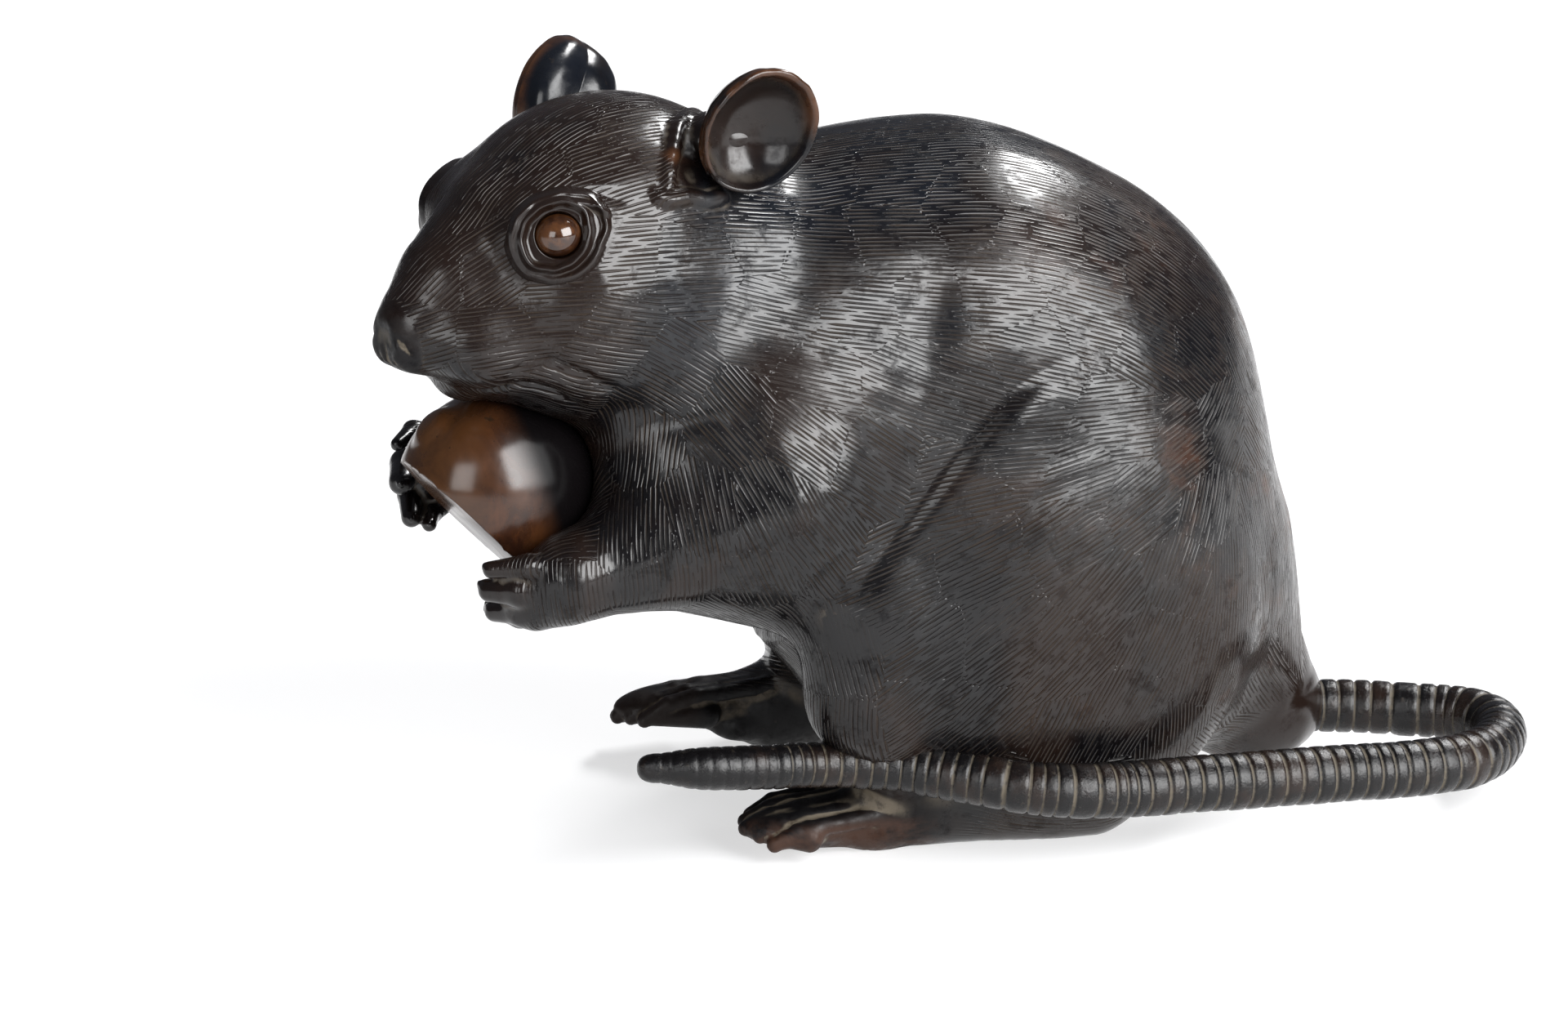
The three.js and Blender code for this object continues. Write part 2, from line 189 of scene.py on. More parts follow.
def skinOf(lumps, low, high, step):  # the wax's skin as small quads
    axes = [np.arange(a, b + step, step) for a, b in zip(low, high)]
    far = np.full([len(a) for a in axes], 50.0, np.float32)
    for lump in lumps:
        room = lump["melt"] + 1.5
        parts = [slice(*np.searchsorted(a, [lo - room, hi + room]))
                 for a, lo, hi in zip(axes, lump["low"], lump["high"])]
        block = np.stack(np.meshgrid(*[a[s] for a, s in zip(axes, parts)], indexing="ij"), -1)
        here = lump["reach"](block.reshape(-1, 3)).reshape(block.shape[:3])
        far[tuple(parts)] = meltIn(far[tuple(parts)], here, lump)
    far = np.maximum(far, -axes[2][None, None, :])
    far[far == 0] = 1e-6

    shape = np.array(far.shape)

    def cellOf(cell):
        return (cell[:, 0] * shape[1] + cell[:, 1]) * shape[2] + cell[:, 2]

    crossed, quads = [], []
    for axis in range(3):
        a = far.take(range(shape[axis] - 1), axis)
        b = far.take(range(1, shape[axis]), axis)
        edge = np.stack(np.nonzero((a > 0) != (b > 0)), 1)
        edge = edge[np.all((edge > 0) & (edge < shape - 1), axis=1)]
        first, second = a[tuple(edge.T)], b[tuple(edge.T)]
        place = edge.astype(float)
        place[:, axis] += first / (first - second)
        u, v = np.eye(3, dtype=int)[(axis + 1) % 3], np.eye(3, dtype=int)[(axis + 2) % 3]
        around = [cellOf(edge - i * u - j * v) for i, j in ((0, 0), (1, 0), (1, 1), (0, 1))]
        crossed += [(cell, place) for cell in around]
        quad = np.stack(around, 1)
        quads.append(np.where((first > 0)[:, None], quad[:, ::-1], quad))
    cells = np.concatenate([cell for cell, _ in crossed])
    places = np.concatenate([place for _, place in crossed])
    names, rows = np.unique(cells, return_inverse=True)
    count = np.bincount(rows)
    points = np.stack([np.bincount(rows, places[:, i]) / count for i in range(3)], 1) * step + np.array(low)
    faces = np.searchsorted(names, np.concatenate(quads))
    return points, faces


def slopeAt(lumps, p):
    reach = 0.04
    steps = np.array([[1, -1, -1], [-1, -1, 1], [-1, 1, -1], [1, 1, 1]]) * reach
    return sum(np.outer(outside(lumps, p + s), s) for s in steps) / (4 * reach ** 2)


def pushToSkin(lumps, p, pushes=3):
    for _ in range(pushes):
        slope = slopeAt(lumps, p)
        move = -outside(lumps, p) / np.maximum((slope ** 2).sum(1), 0.2)
        p = p + slope * np.clip(move, -0.5, 0.5)[:, None]
    return p


def ratBody():
    turned = {"turn": math.radians(stroke["headTurn"])}
    lumps = [
        egg((38, 0, 36), (39, 35, 37), 1),  # rump, back, withers, chest
        egg((40.5, 0, 62.2), (31.3, 31, 32.6), 12),
        egg((21, 0, 70), (32, 31, 32.5), 14),
        egg((0, 0, 62), (27, 27, 32), 14),
        bar((20, 0, 76), (-10, -3, 80), (24, 21), 12),
        egg(onHead(26, 0, 91), (25, 20, 21.5), 10, **turned),  # skull, muzzle, throat, jaw, nose
        bar(onHead(38, 0, 87), onHead(55, 0, 82.5), (15.5, 7), 6),
        bar(onHead(10, 0, 73), onHead(34, 0, 80), (18, 12), 8),
        bar(onHead(36, 0, 77), onHead(49, 0, 75.5), (8, 4.5), 4),
        bar(onHead(44, 0, 93.5), onHead(52, 0, 88.6), (10, 7.6), 3),
        bar(onHead(50, 0, 89.3), onHead(57.6, 0, 84.4), (7, 4.6), 3),
        egg(onHead(59.5, 0, 81.4), (4.2, 4.6, 4.1), 3, **turned),
    ]
    for side in (1, -1):
        lumps += [
            egg(onHead(30, 10 * side, 81), (16, 10, 12), 8, **turned),  # cheek, lips, brow
            egg(onHead(48, 6.5 * side, 80.5), (10, 6.5, 7), 4, **turned),
            egg(onHead(41, 10.5 * side, 97), (8, 5.5, 5), 4, **turned),
        ]
    lumps += [
        egg((-6, -20, 58), (20, 13, 23), 10),  # shoulders, chest, forearms and wrists
        egg((-6, 18, 60), (20, 13, 22), 10),
        bar((-10, -23, 54), (-40, -28, 47), (14, 6), 6),
        bar((-40, -28, 47), (-44.5, -26, 44), (5.8, 4.8), 3),
        egg((-20, -16, 57), (14, 13, 17), 8),
        bar((-10, 20, 57), (-42, 14, 53), (13, 5.8), 6),
        egg((-27, 9, 57), (8, 7, 8), 5),
        bar((-42, 14, 53), (-52, 8, 54), (5.5, 4.4), 3),
    ]
    for side, knee in ((-1, (7, -25, 34)), (1, (16, 24, 31))):
        y, lift = foot["across"][side], foot["lift"][side]
        arch, thick = (8, y, 4.8 + 0.4 * lift), 4.8 + 0.45 * lift
        lumps += [
            egg((32, 22 * side, 37), (31, 15.5, 37), 5, pitch=-24),  # thigh, knee, shin, sole, ball
            egg(knee, (12, 10, 16), 6, pitch=-15),
            bar((knee[0] - 3, 26 * side, 24), (14, y, 9), (8, 6.5), 5),
            bar((40, y, 7), arch, (8.1, thick), 4),
            bar(arch, (-3, y, 4.4 + lift), (thick, 3.5 + 0.15 * lift), 2.5),
            egg((-3.5 - 0.9 * lift, y, 4.5 + lift), (9 + 0.6 * lift, 5.4, 2.9 + 0.1 * lift), 1.5),
        ]
    lumps += [
        bar((62, 0, 32), (74.5, -1, 11.5), (16, 10.5), 10),  # rump over the tail, and its lip
        bar((78, -1, 9.8), (80.5, -1.2, 9.6), (6, 5.2), 2),
        ring((81.6, -1.2, 9.7), (1, -0.12, 0.02), 4.7, 1.0, 0.9),
    ]
    return lumps


# Toes of each hind foot: long rounded ribs with a groove between each two
foot = {"across": {-1: -20, 1: 33}, "reach": {-1: 12.4, 1: 17.2}, "lift": {-1: 0, 1: 3.2},
        "apart": 2.5, "thick": 1.45, "thin": 1.15, "melt": 0.3}


def toes():
    lumps = []
    for side in (-1, 1):
        lift = foot["lift"][side]
        for spread in range(-2, 3):
            y = foot["across"][side] + foot["apart"] * spread
            reach = foot["reach"][side] - 1.5 * abs(spread - 0.3)
            rib = smoothLine([(17, y - 0.8 * spread, 8.6 + lift), (7, y - 0.3 * spread, 7.9 + lift),
                              (-1, y, 7.3 + lift), (-reach * 0.65, y + 0.1 * spread, 6.7 + lift),
                              (-reach, y - 0.2 * spread, 5.0 + 0.6 * lift)], 8)
            outward = spread * side
            rib[:, 2] -= 0.45 * (outward + 1) + 0.12 * outward ** 2
            sizes = np.interp(range(8), [0, 2, 7], [1.1, foot["thick"], foot["thin"]])
            lumps += [bar(rib[i], rib[i + 1], sizes[i:i + 2], foot["melt"]) for i in range(7)]
            under = (-reach + 2, y - 0.2 * spread, 4.2 + 0.8 * lift - 0.2 * outward)
            lumps.append(bar((-4, y, 4 + lift), under, (2.3, 1.3), 0.8))
        innerPad = (2.5, foot["across"][side] - 2.5 * side, 3.4 + 0.3 * lift)
        lumps.append(egg(innerPad, (4.8, 3.4, 2.6), 1.2))
    return lumps


# Fingers by their joints, from the knuckle to the blunt tip, with the radius at each
paws = [
    ([(-40, -29.6, 48.9), (-46.5, -29.8, 49.6), (-51.4, -27.2, 48.9)], (2.1, 1.85, 1.25)),
    ([(-41, -29, 46.1), (-47.5, -28.6, 45.9), (-51.2, -25.4, 45.4)], (2.5, 2.4, 1.7)),
    ([(-42, -28, 43), (-46.8, -26.4, 42.3), (-49.8, -22.6, 41.4)], (2.4, 2.1, 1.5)),
    ([(-42, -25, 41.4), (-45.8, -21.4, 40.3), (-48.2, -15.4, 39.8)], (2.3, 1.9, 1.5)),
    ([(-48, 10, 59), (-54, 8.5, 60.6), (-57.4, 4.2, 59.9)], (1.9, 1.5, 1.0)),
    ([(-49, 10, 56), (-55.5, 7.5, 56), (-57.2, 2.6, 54.6)], (2.2, 2.2, 1.9)),
    ([(-49, 9, 53), (-55, 6.5, 51.6), (-56, 2, 49.4)], (2.1, 1.9, 1.5)),
    ([(-48, 8, 51), (-52.5, 5, 48.8), (-53.6, 1, 48.4)], (1.8, 1.5, 1.1)),
]


def fingers():
    lumps = []
    for joints, sizes in paws:
        lumps += [bar(joints[0], joints[1], sizes[:2], 0.9), bar(joints[1], joints[2], sizes[1:], 0.6)]
        ahead = unit(np.subtract(joints[2], joints[1]))
        top = unit(np.array([0, 0, 1]) - ahead * ahead[2])
        nail = np.array(joints[2]) + ahead * sizes[2] * 0.5 + top * sizes[2] * 0.45
        lumps.append(bar(nail, nail + ahead * sizes[2] * 0.75, (sizes[2] * 0.5, sizes[2] * 0.25), 0.25))
    return lumps


# Ears: cups set on edge; places in an ear are (front, up its length, out of the cup). The profile runs
# from the bottom of the cup over its rim to the back, as a share of the radius and a height.
ear = {
    "size": {1: (8.2, 9.4), -1: (7.8, 9.7)}, "shift": {1: (-0.4, 0.6), -1: (0.2, 0.1)}, "wave": 0.12,
    "profile": [(0.01, -4.5), (0.25, -4.2), (0.5, -3.3), (0.7, -2.1), (0.86, -0.7), (0.97, 0.7),
                (1.03, 0.6), (1.02, -0.4), (0.9, -2.8), (0.62, -5), (0.3, -5.9), (0.01, -6.2)],
    "rows": 64, "turns": 132, "sag": (0.8, -1.6), "keel": {1: 0, -1: 0.34},
    "roll": 1.15, "rollFrom": 78, "rollTo": -58, "hem": 0.55,
    "root": (-0.5, -4.5, -9.6), "rootSize": (6, 6, 3.4),
    "pit": (5.4, -7.6, -0.6), "pitSize": (2.0, 1.8, 2.4),
    "collar": [(13.6, 5.2, 109), (18.3, 9.3, 109), (20.3, 10.4, 108.4), (22.3, 12.5, 107.2),
               (24.2, 14.4, 105.4), (25.6, 15.7, 104), (26.6, 16.9, 102)],
    "shelf": [(28.8, 17.5, 100.6), (27, 17.9, 100), (23.4, 17.8, 100), (20.6, 18.1, 99.2),
              (17.6, 17.7, 99.4)],
    "offset": {1: (0, 0, 0), -1: (3.5, 0, -1.5)}, "collarSize": 0.8,
}


def earFrame(side):
    base = onHead(14.9, 21.5, 108.7) if side > 0 else onHead(18.6, -21.5, 107)
    opening = unit(turnHead(0.3 if side > 0 else 0, 0.9 * side, -0.25))
    lean = turnHead(-0.3 if side > 0 else -0.75, 0.4 * side, 1)
    lean = unit(lean - opening * (lean @ opening))
    front = np.cross(opening, lean) * side
    return base, opening, lean, front


def earLumps(side):  # the ear's root, the ledges round it and the pit before it
    base, opening, lean, front = earFrame(side)
    axes = np.stack([front, lean, opening], 1)

    def local(place):
        return base + axes @ np.array(place, float)

    shift = ear["offset"][side]
    lumps = [egg(local(ear["root"]), ear["rootSize"], 2)]
    for name in ("collar", "shelf"):
        ledge = smoothLine([onHead(a + shift[0], l * side, h + shift[2]) for a, l, h in ear[name]], 12)
        ledge = pushToSkin(bodyLumps, ledge, 8)
        lumps += [bar(ledge[i], ledge[i + 1], (ear["collarSize"],) * 2, 1.0) for i in range(11)]
    return lumps + [egg(local(ear["pit"]), ear["pitSize"], 0.9, cut=True)]


nut = {"centre": (-46.5, -12.6, 56.4), "long": 14.6, "wide": 14.4, "thick": 12.6, "flatAt": 6.4,
       "axis": (0.68, 0.1, -0.72), "flatFacing": (-0.72, -0.09, -0.68), "gap": 0.3, "edge": 1.3}


def nutFrame():
    axis = unit(nut["axis"])
    up = np.array([0, 1.0, 0])
    up = unit(up - axis * (up @ axis))
    return np.stack([np.cross(axis, up), axis, up], 1)


def nutHollow():  # the seat that the paws and the chin leave for the chestnut
    centre = np.array(nut["centre"])
    turned = nutFrame()
    facing = unit(nut["flatFacing"])

    def reach(p):
        q = (p - centre) @ turned
        across = np.hypot(q[:, 0] / nut["wide"], q[:, 2] / nut["thick"])
        dome = (np.sqrt((q[:, 1] / nut["long"]) ** 2 + across ** 2.33) - 1) * nut["thick"]
        return np.maximum(dome, (p - centre) @ facing - nut["flatAt"]) - nut["gap"]

    return {"reach": reach, "melt": 0.3, "cut": True, "low": centre - 16, "high": centre + 16}


# The eye's ball stands in two rings of lid, an inner and an outer; the radius of each is given every
# 30 degrees, from the rear corner upwards. The upper lid runs out into a fold at the rear corner.
eye = {"ball": 3.15, "proud": 2.2, "rows": 56, "turns": 160, "inside": 2.6, "border": 1.1,
       "dome": 0.55, "domeFall": 0.02, "drop": 2.6, "lidRise": 1.15, "lidWidth": 0.62, "foldWidth": 0.6,
       "outerRise": 0.75, "outerWidth": 0.55,
       "lid": (4.4, 5.0, 4.8, 4.5, 4.6, 5.0, 5.4, 5.7, 5.0, 4.4, 4.1, 4.1),
       "outer": (7.0, 7.1, 6.1, 5.6, 5.8, 6.3, 6.9, 7.0, 6.3, 6.0, 5.9, 6.0),
       "fold": [(2.8, 4.0), (5.0, 3.1), (6.6, 2.2), (7.9, 1.1)]}


def eyeFrame(side):
    centre = onHead(43.5, 14.6 * side, 96.6)
    out = unit(onHead(50, 26 * side, 100) - centre)
    back = turnHead(-1, 0, 0.1)
    back = unit(back - out * (back @ out))
    return centre, out, back, np.cross(out, back) * side


def nose():
    turned = {"turn": math.radians(stroke["headTurn"])}
    lumps = [egg(onHead(59.9, 2.4 * side, 80.4), (3.2, 2.3, 3.3), 1.0, **turned) for side in (1, -1)]
    lumps.append(egg(onHead(77, 0, 81), (14, 14, 14), 0.3, cut=True))  # flat front
    for side in (1, -1):
        lumps += [
            bar(onHead(64.0, 2.0 * side, 83.4), onHead(63.0, 4.1 * side, 81.4), (0.4, 0.65), 0.3, cut=True),
            bar(onHead(63.0, 4.1 * side, 81.4), onHead(61.2, 5.3 * side, 78.4), (0.65, 0.3), 0.3, cut=True),
            bar(onHead(63.4, 1.6 * side, 79.6), onHead(60.6, 1.9 * side, 76.2), (0.25, 0.4), 0.3, cut=True),
        ]
    lumps += [
        bar(onHead(64.4, 0, 83.6), onHead(62.4, 0, 77.2), (0.3, 0.6), 0.4, cut=True),
        egg(onHead(50.6, 0, 74.4), (3.6, 4.2, 2.9), 1.2, **turned),  # lower lip
    ]
    return lumps


skin = {"step": 0.8, "low": (-70, -46, -2.4), "high": (90, 46, 123), "faces": 196000}


def skinArrays(piece):
    mesh = piece.data
    points = np.empty(len(mesh.vertices) * 3)
    normals = np.empty(len(mesh.vertices) * 3)
    mesh.vertices.foreach_get("co", points)
    mesh.vertices.foreach_get("normal", normals)
    return points.reshape(-1, 3) / mm + wholeMiddle, normals.reshape(-1, 3)


def writeSkin(piece, points):
    piece.data.vertices.foreach_set("co", toFrame(points).ravel())
    piece.data.update()


def refineNear(piece, places):  # smaller faces where the tooling is fine
    makeActive(piece)
    bpy.ops.object.mode_set(mode="EDIT")
    bpy.ops.mesh.select_all(action="DESELECT")
    bpy.ops.object.mode_set(mode="OBJECT")
    mesh = piece.data
    centres = np.empty(len(mesh.polygons) * 3)
    mesh.polygons.foreach_get("center", centres)
    centres = centres.reshape(-1, 3) / mm + wholeMiddle
    chosen = np.zeros(len(centres), bool)
    for place, size in places:
        chosen |= np.linalg.norm(centres - place, axis=1) < size
    mesh.polygons.foreach_set("select", chosen)
    bpy.ops.object.mode_set(mode="EDIT")
    bpy.ops.mesh.subdivide(number_cuts=1, quadcorner="INNERVERT")
    bpy.ops.object.mode_set(mode="OBJECT")


def neighbourMean(mesh, values):
    edges = np.empty(len(mesh.edges) * 2, int)
    mesh.edges.foreach_get("vertices", edges)
    ends = np.concatenate([edges[0::2], edges[1::2]])
    others = np.concatenate([edges[1::2], edges[0::2]])
    count = np.maximum(np.bincount(ends, minlength=len(values)), 1)
    return np.stack([np.bincount(ends, values[others, i], len(values)) / count for i in range(3)], 1)


def softenNear(piece, chosen, rounds):  # evens out the small steps without shrinking the form
    points, _ = skinArrays(piece)
    for share in (0.55, -0.58) * rounds:
        moved = points + share * (neighbourMean(piece.data, points) - points)
        points[chosen] = moved[chosen]
    writeSkin(piece, points)


def nearLine(points, line):  # distance from a line, the share of the run, and which way it lies
    best = np.full(len(points), 1e9)
    run = np.zeros(len(points))
    away = np.zeros_like(points)
    heading = np.zeros_like(points)
    for i, (a, b) in enumerate(zip(line, line[1:])):
        d = b - a
        t = np.clip((points - a) @ d / max(d @ d, 1e-9), 0, 1)
        offset = points - a - np.outer(t, d)
        distance = np.linalg.norm(offset, axis=1)
        closer = distance < best
        best[closer] = distance[closer]
        run[closer] = (i + t[closer]) / (len(line) - 1)
        away[closer] = offset[closer]
        heading[closer] = unit(d)
    return best, run, away, heading


def snapTo(points, line):
    tree = kdtree.KDTree(len(points))
    for i, p in enumerate(points):
        tree.insert(p, i)
    tree.balance()
    return np.array([points[tree.find(p)[1]] for p in line])


# Lines pressed with a tool: places, width, depth, how far one side stands up, on both sides or not
tooled = {
    "haunch": {"line": [(41, -30, 74.5), (29.3, -32, 72.4), (19.1, -33, 65.7), (14.1, -33.4, 59.4),
                        (7.8, -33.4, 51.7), (2.8, -33.8, 45), (-0.6, -33, 40)],
               "width": 1.3, "depth": 0.45, "step": 0.9, "stepAt": 2.6, "stepWidth": 6},
    "mouth": {"head": [(54, 5, 73.6), (50.5, 9.5, 74.3), (47.8, 11.5, 75.3), (45.4, 12.2, 74.6),
                       (43, 13.4, 73.6), (38.5, 13.6, 70.8)], "width": 0.8, "depth": 0.9},
    "lipFold": {"head": [(50.2, 11.4, 76.4), (48.6, 13.2, 78.4), (47, 14.2, 79.2), (45.4, 14.8, 79.1),
                         (43.4, 15.8, 78.2), (40.4, 16.6, 76.6), (35.2, 17.6, 73.6)],
                "width": 0.9, "depth": 0.8},
    "ribs": {"line": [(16, -24, 91), (13, -30, 82), (9.5, -33, 74), (6, -35, 65)],
             "width": 4.2, "depth": 0.6},
    "cheek": {"head": [(49, 15.5, 84), (42, 18.6, 83.2), (35, 20.5, 83.4)], "width": 0.8, "depth": 0.4},
    "jaw": {"head": [(38, 14, 71), (30, 19, 69), (20, 23, 70)], "width": 2.6, "depth": 0.9},
    "browFold": {"head": [(51.5, 10.5, 101.5), (45, 14.2, 104.6), (38, 17, 103.8), (33, 19, 100.5)],
                 "width": 1.0, "depth": 0.45},
}


def pressLines(points, normals):
    for tool in tooled.values():
        for side in (1, -1):
            if "head" in tool:
                line = np.array([onHead(a, l * side, h) for a, l, h in tool["head"]])
            else:
                line = np.array(tool["line"]) * (1, side, 1)
            line = smoothLine(line, 24)
            box = np.all((points > line.min(0) - 12) & (points < line.max(0) + 12), axis=1)
            near = np.nonzero(box)[0]
            line = snapTo(points[near], line)
            line[1:-1] = (line[:-2] + 2 * line[1:-1] + line[2:]) / 4
            distance, run, away, heading = nearLine(points[near], line)
            ends = np.sin(np.pi * np.clip(run, 0.02, 0.98)) ** 0.5
            move = -tool["depth"] * np.exp(-(distance / tool["width"]) ** 2) * ends
            if "step" in tool:
                across = np.einsum("ij,ij->i", np.cross(heading, normals[near]), away) * side
                lift = ridgeAt(np.abs(across) - tool["stepAt"], tool["stepWidth"]) * ridgeAt(distance, 12)
                move += tool["step"] * 0.5 * lift * np.tanh(-across / 1.2) * ends
            points[near] += normals[near] * move[:, None]
    return points


def roundAbout(radii, angle):  # a radius that changes smoothly round a turn
    place = angle / (2 * np.pi) * len(radii) % len(radii)
    first = place.astype(int) % len(radii)
    share = smoothStep(0, 1, place - np.floor(place))
    radii = np.array(radii)
    return radii[first] * (1 - share) + radii[(first + 1) % len(radii)] * share


def sinkEyes(points):  # lowers the skin where the lids are set in
    for side in (1, -1):
        centre, out, back, up = eyeFrame(side)
        q = points - centre
        a, b, depth = q @ back, q @ up, q @ out
        outer = roundAbout(eye["outer"], np.arctan2(b, a))
        share = np.hypot(a, b) / outer
        low = np.minimum(depth, -0.8 - 2.0 * (share < 0.7))
        target = low + (depth - low) * smoothStep(1.0, 1.1, share)
        near = (share < 1.2) & (np.abs(depth) < 9)
        points[near] += np.outer((target - depth)[near], out)
    return points


print("wax lumps")
bodyLumps = ratBody()
lumps = bodyLumps + toes() + fingers() + earLumps(1) + earLumps(-1) + nose() + [nutHollow()]
step = skin["step"] * 1
points, faces = skinOf(lumps, skin["low"], skin["high"], step)
points = pushToSkin(lumps, points)
points[:, 2] = np.maximum(points[:, 2], 0)
rat = meshPiece("rat_skin", points, faces)
print("skin", len(points), "points")

# Places with fine tooling, and how far round each the faces are made smaller
refined = [
    (onHead(43.5, 14.6, 96.6), 10.5), (onHead(43.5, -14.6, 96.6), 8), (onHead(57, 3, 79), 11),
    (onHead(15.5, 21.5, 107), 14.5), (onHead(19, -21.5, 106.5), 10), (np.array([-48, -26, 45]), 9.5),
    (np.array([-54, 6, 54]), 8.5), (np.array([-6, -20, 6]), 12), (np.array([-10, 33, 7]), 10),
]
refineNear(rat, refined)
points, _ = skinArrays(rat)
fine = np.zeros(len(points), bool)
for place, size in refined:
    fine |= np.linalg.norm(points - place, axis=1) < size + 0.6
points[fine] = pushToSkin(lumps, points[fine], 4)
writeSkin(rat, points)
softenNear(rat, fine, 3)

print("tooling")
points, _ = skinArrays(rat)
writeSkin(rat, sinkEyes(points))
points, normals = skinArrays(rat)
writeSkin(rat, pressLines(points, normals))


# Which way the fur lies: places and directions, mirrored to the right side
comb = {
    "body": [
        ((-28, -24, 64), (0.05, 0, -1)), ((-38, -29, 53), (0.02, 0, -1)), ((-25, -33, 52), (0.12, 0, -1)),
        ((-34, -22, 60), (0.0, 0.2, -1)), ((-15, -35, 50), (0.35, 0, -1)), ((-16, -33, 62), (0.3, 0, -1)),
        ((-4, -35, 50), (0.75, 0, -0.9)), ((-6, -35, 60), (0.9, 0, -0.75)), ((6, -34, 56), (1, 0, -0.7)),
        ((-14, -29, 76), (1, 0, -0.35)), ((-4, -31, 76), (1, 0, -0.3)), ((8, -32, 70), (1, 0, -0.45)),
        ((12, -33, 63), (1, 0, -0.6)), ((-18, -27, 84), (1, 0, -0.1)), ((8, -27, 87), (1, 0, -0.12)),
        ((25, -29, 82), (1, 0, -0.15)), ((22, -32, 74), (1, 0, -0.3)), ((38, -26, 83), (1, 0, -0.3)),
        ((50, -20, 80), (1, 0, -0.75)), ((0, 0, 100), (1, 0, 0)), ((20, 0, 102), (1, 0, 0)),
        ((20, -16, 98), (1, 0, -0.1)), ((40, -10, 96), (1, 0, -0.25)), ((55, 0, 86), (1, 0, -0.7)),
        ((66, 0, 72), (0.55, 0, -1)), ((72, -8, 58), (0.3, 0, -1)), ((76, 0, 40), (0.1, 0, -1)),
        ((70, -20, 50), (0.15, 0, -1)), ((72, -18, 34), (0.15, 0, -1)), ((66, 0, 15), (0.9, 0, -0.4)),
        ((-24, 0, 50), (0.1, 0, -1)), ((-10, 0, 32), (1, 0, -0.4)), ((30, 0, 4), (1, 0, 0)),
        ((-2, -28, 30), (0.4, 0, -1)), ((16, -30, 9), (1, 0, -0.2)), ((30, -30, 6), (1, 0, 0)),
        ((-10, -28, 6), (1, 0, 0)),
    ],
    "head": [
        ((62, 3, 86), (-1, 0.1, 0.3)), ((54, 7, 90), (-1, 0.15, 0.55)), ((46, 8, 101), (-1, 0.1, 0.6)),
        ((38, 5, 108), (-1, 0, 0.25)), ((25, 6, 112), (-1, 0, 0)), ((10, 6, 108), (-1, 0, -0.2)),
        ((52, 11, 84), (-1, 0, 0.05)), ((54, 8, 79), (-1, 0.1, -0.1)), ((42, 18, 87), (-1, 0.1, -0.06)),
        ((32, 21, 86), (-1, 0, -0.1)), ((32, 20, 97), (-1, 0, -0.1)), ((36, 15, 104), (-1, 0.1, 0.12)),
        ((22, 22, 92), (-1, 0, -0.08)), ((20, 21, 82), (-1, 0, -0.35)), ((36, 17, 78), (-1, 0.2, -0.3)),
        ((28, 20, 74), (-1, 0, -0.6)), ((16, 22, 74), (-0.7, 0, -0.8)), ((44, 6, 73), (-1, 0.3, -0.1)),
        ((26, 4, 66), (-0.5, 0, -1)), ((26, 17, 103), (-1, 0, 0.1)),
    ],
    "whorl": (61.5, -22.5, 64),
}


def combGuides():
    places, ways = [], []
    for side in (-1, 1):
        for place, way in comb["body"]:
            places.append(np.array(place) * (1, -side, 1))
            ways.append(np.array(way) * (1, -side, 1))
        for (a, l, h), (da, dl, dh) in comb["head"]:
            places.append(onHead(a, l * -side, h))
            ways.append(turnHead(da, dl * -side, dh))
    return np.array(places), unit(np.array(ways))


def combed(points, normals):  # the fur's direction at each point, in the skin
    places, ways = combGuides()
    flow = np.zeros_like(points)
    total = np.zeros(len(points))
    for place, way in zip(places, ways):
        weight = 1 / (((points - place) ** 2).sum(1) + 6) ** 2.2
        flow += weight[:, None] * way
        total += weight
    flow /= total[:, None]
    # Behind its fold the haunch's fur fans out from the whorl on the hip.
    side = np.where(points[:, 1:2] < 0, 1.0, -1.0)
    whorl = np.array(comb["whorl"]) * np.hstack([np.ones_like(side), side, np.ones_like(side)])
    fan = unit(whorl - points) * -1
    fan[:, 1] *= 0.3
    amount = haunchShare(points)
    flow = unit(flow) * (1 - amount)[:, None] + unit(fan) * amount[:, None]
    flow -= normals * np.einsum("ij,ij->i", flow, normals)[:, None]
    return unit(flow)


def haunchShare(points):  # 1 on the haunch behind its fold, 0 elsewhere
    x, y, z = points[:, 0], np.abs(points[:, 1]), points[:, 2]
    line = np.array(tooled["haunch"]["line"])
    foldAt = np.interp(x, line[::-1, 0], line[::-1, 2])
    foldAt = np.where(x > line[0, 0], line[0, 2] - (x - line[0, 0]) * 0.46, foldAt)
    below = smoothStep(-0.6, 0.6, foldAt - z)
    return below * smoothStep(-1.5, 1.5, x + 1) * smoothStep(12, 20, y) * smoothStep(10, 22, z) \
        * (1 - smoothStep(66, 74, x))


patch = {"apart": 9.5, "pitch": 0.66, "long": 9}


def patchSeeds(points, apart):  # points spread over the skin, no two closer than apart
    order = rng.permutation(len(points))
    taken, chosen = {}, []
    for i in order:
        p = points[i]
        key = tuple((p // apart).astype(int))
        close = (taken.get((key[0] + a, key[1] + b, key[2] + c), ())
                 for a in (-1, 0, 1) for b in (-1, 0, 1) for c in (-1, 0, 1))
        if all(np.linalg.norm(p - q) >= apart for group in close for q in group):
            taken.setdefault(key, []).append(p)
            chosen.append(i)
    return np.array(chosen)


def nearestSeeds(places, seeds, count):
    tree = kdtree.KDTree(len(seeds))
    for i, seed in enumerate(seeds):
        tree.insert(seed, i)
    tree.balance()
    found = [tree.find_n(p, count) for p in places]
    index = np.array([[f[1] for f in row] for row in found])
    distance = np.array([[f[2] for f in row] for row in found])
    return index, distance


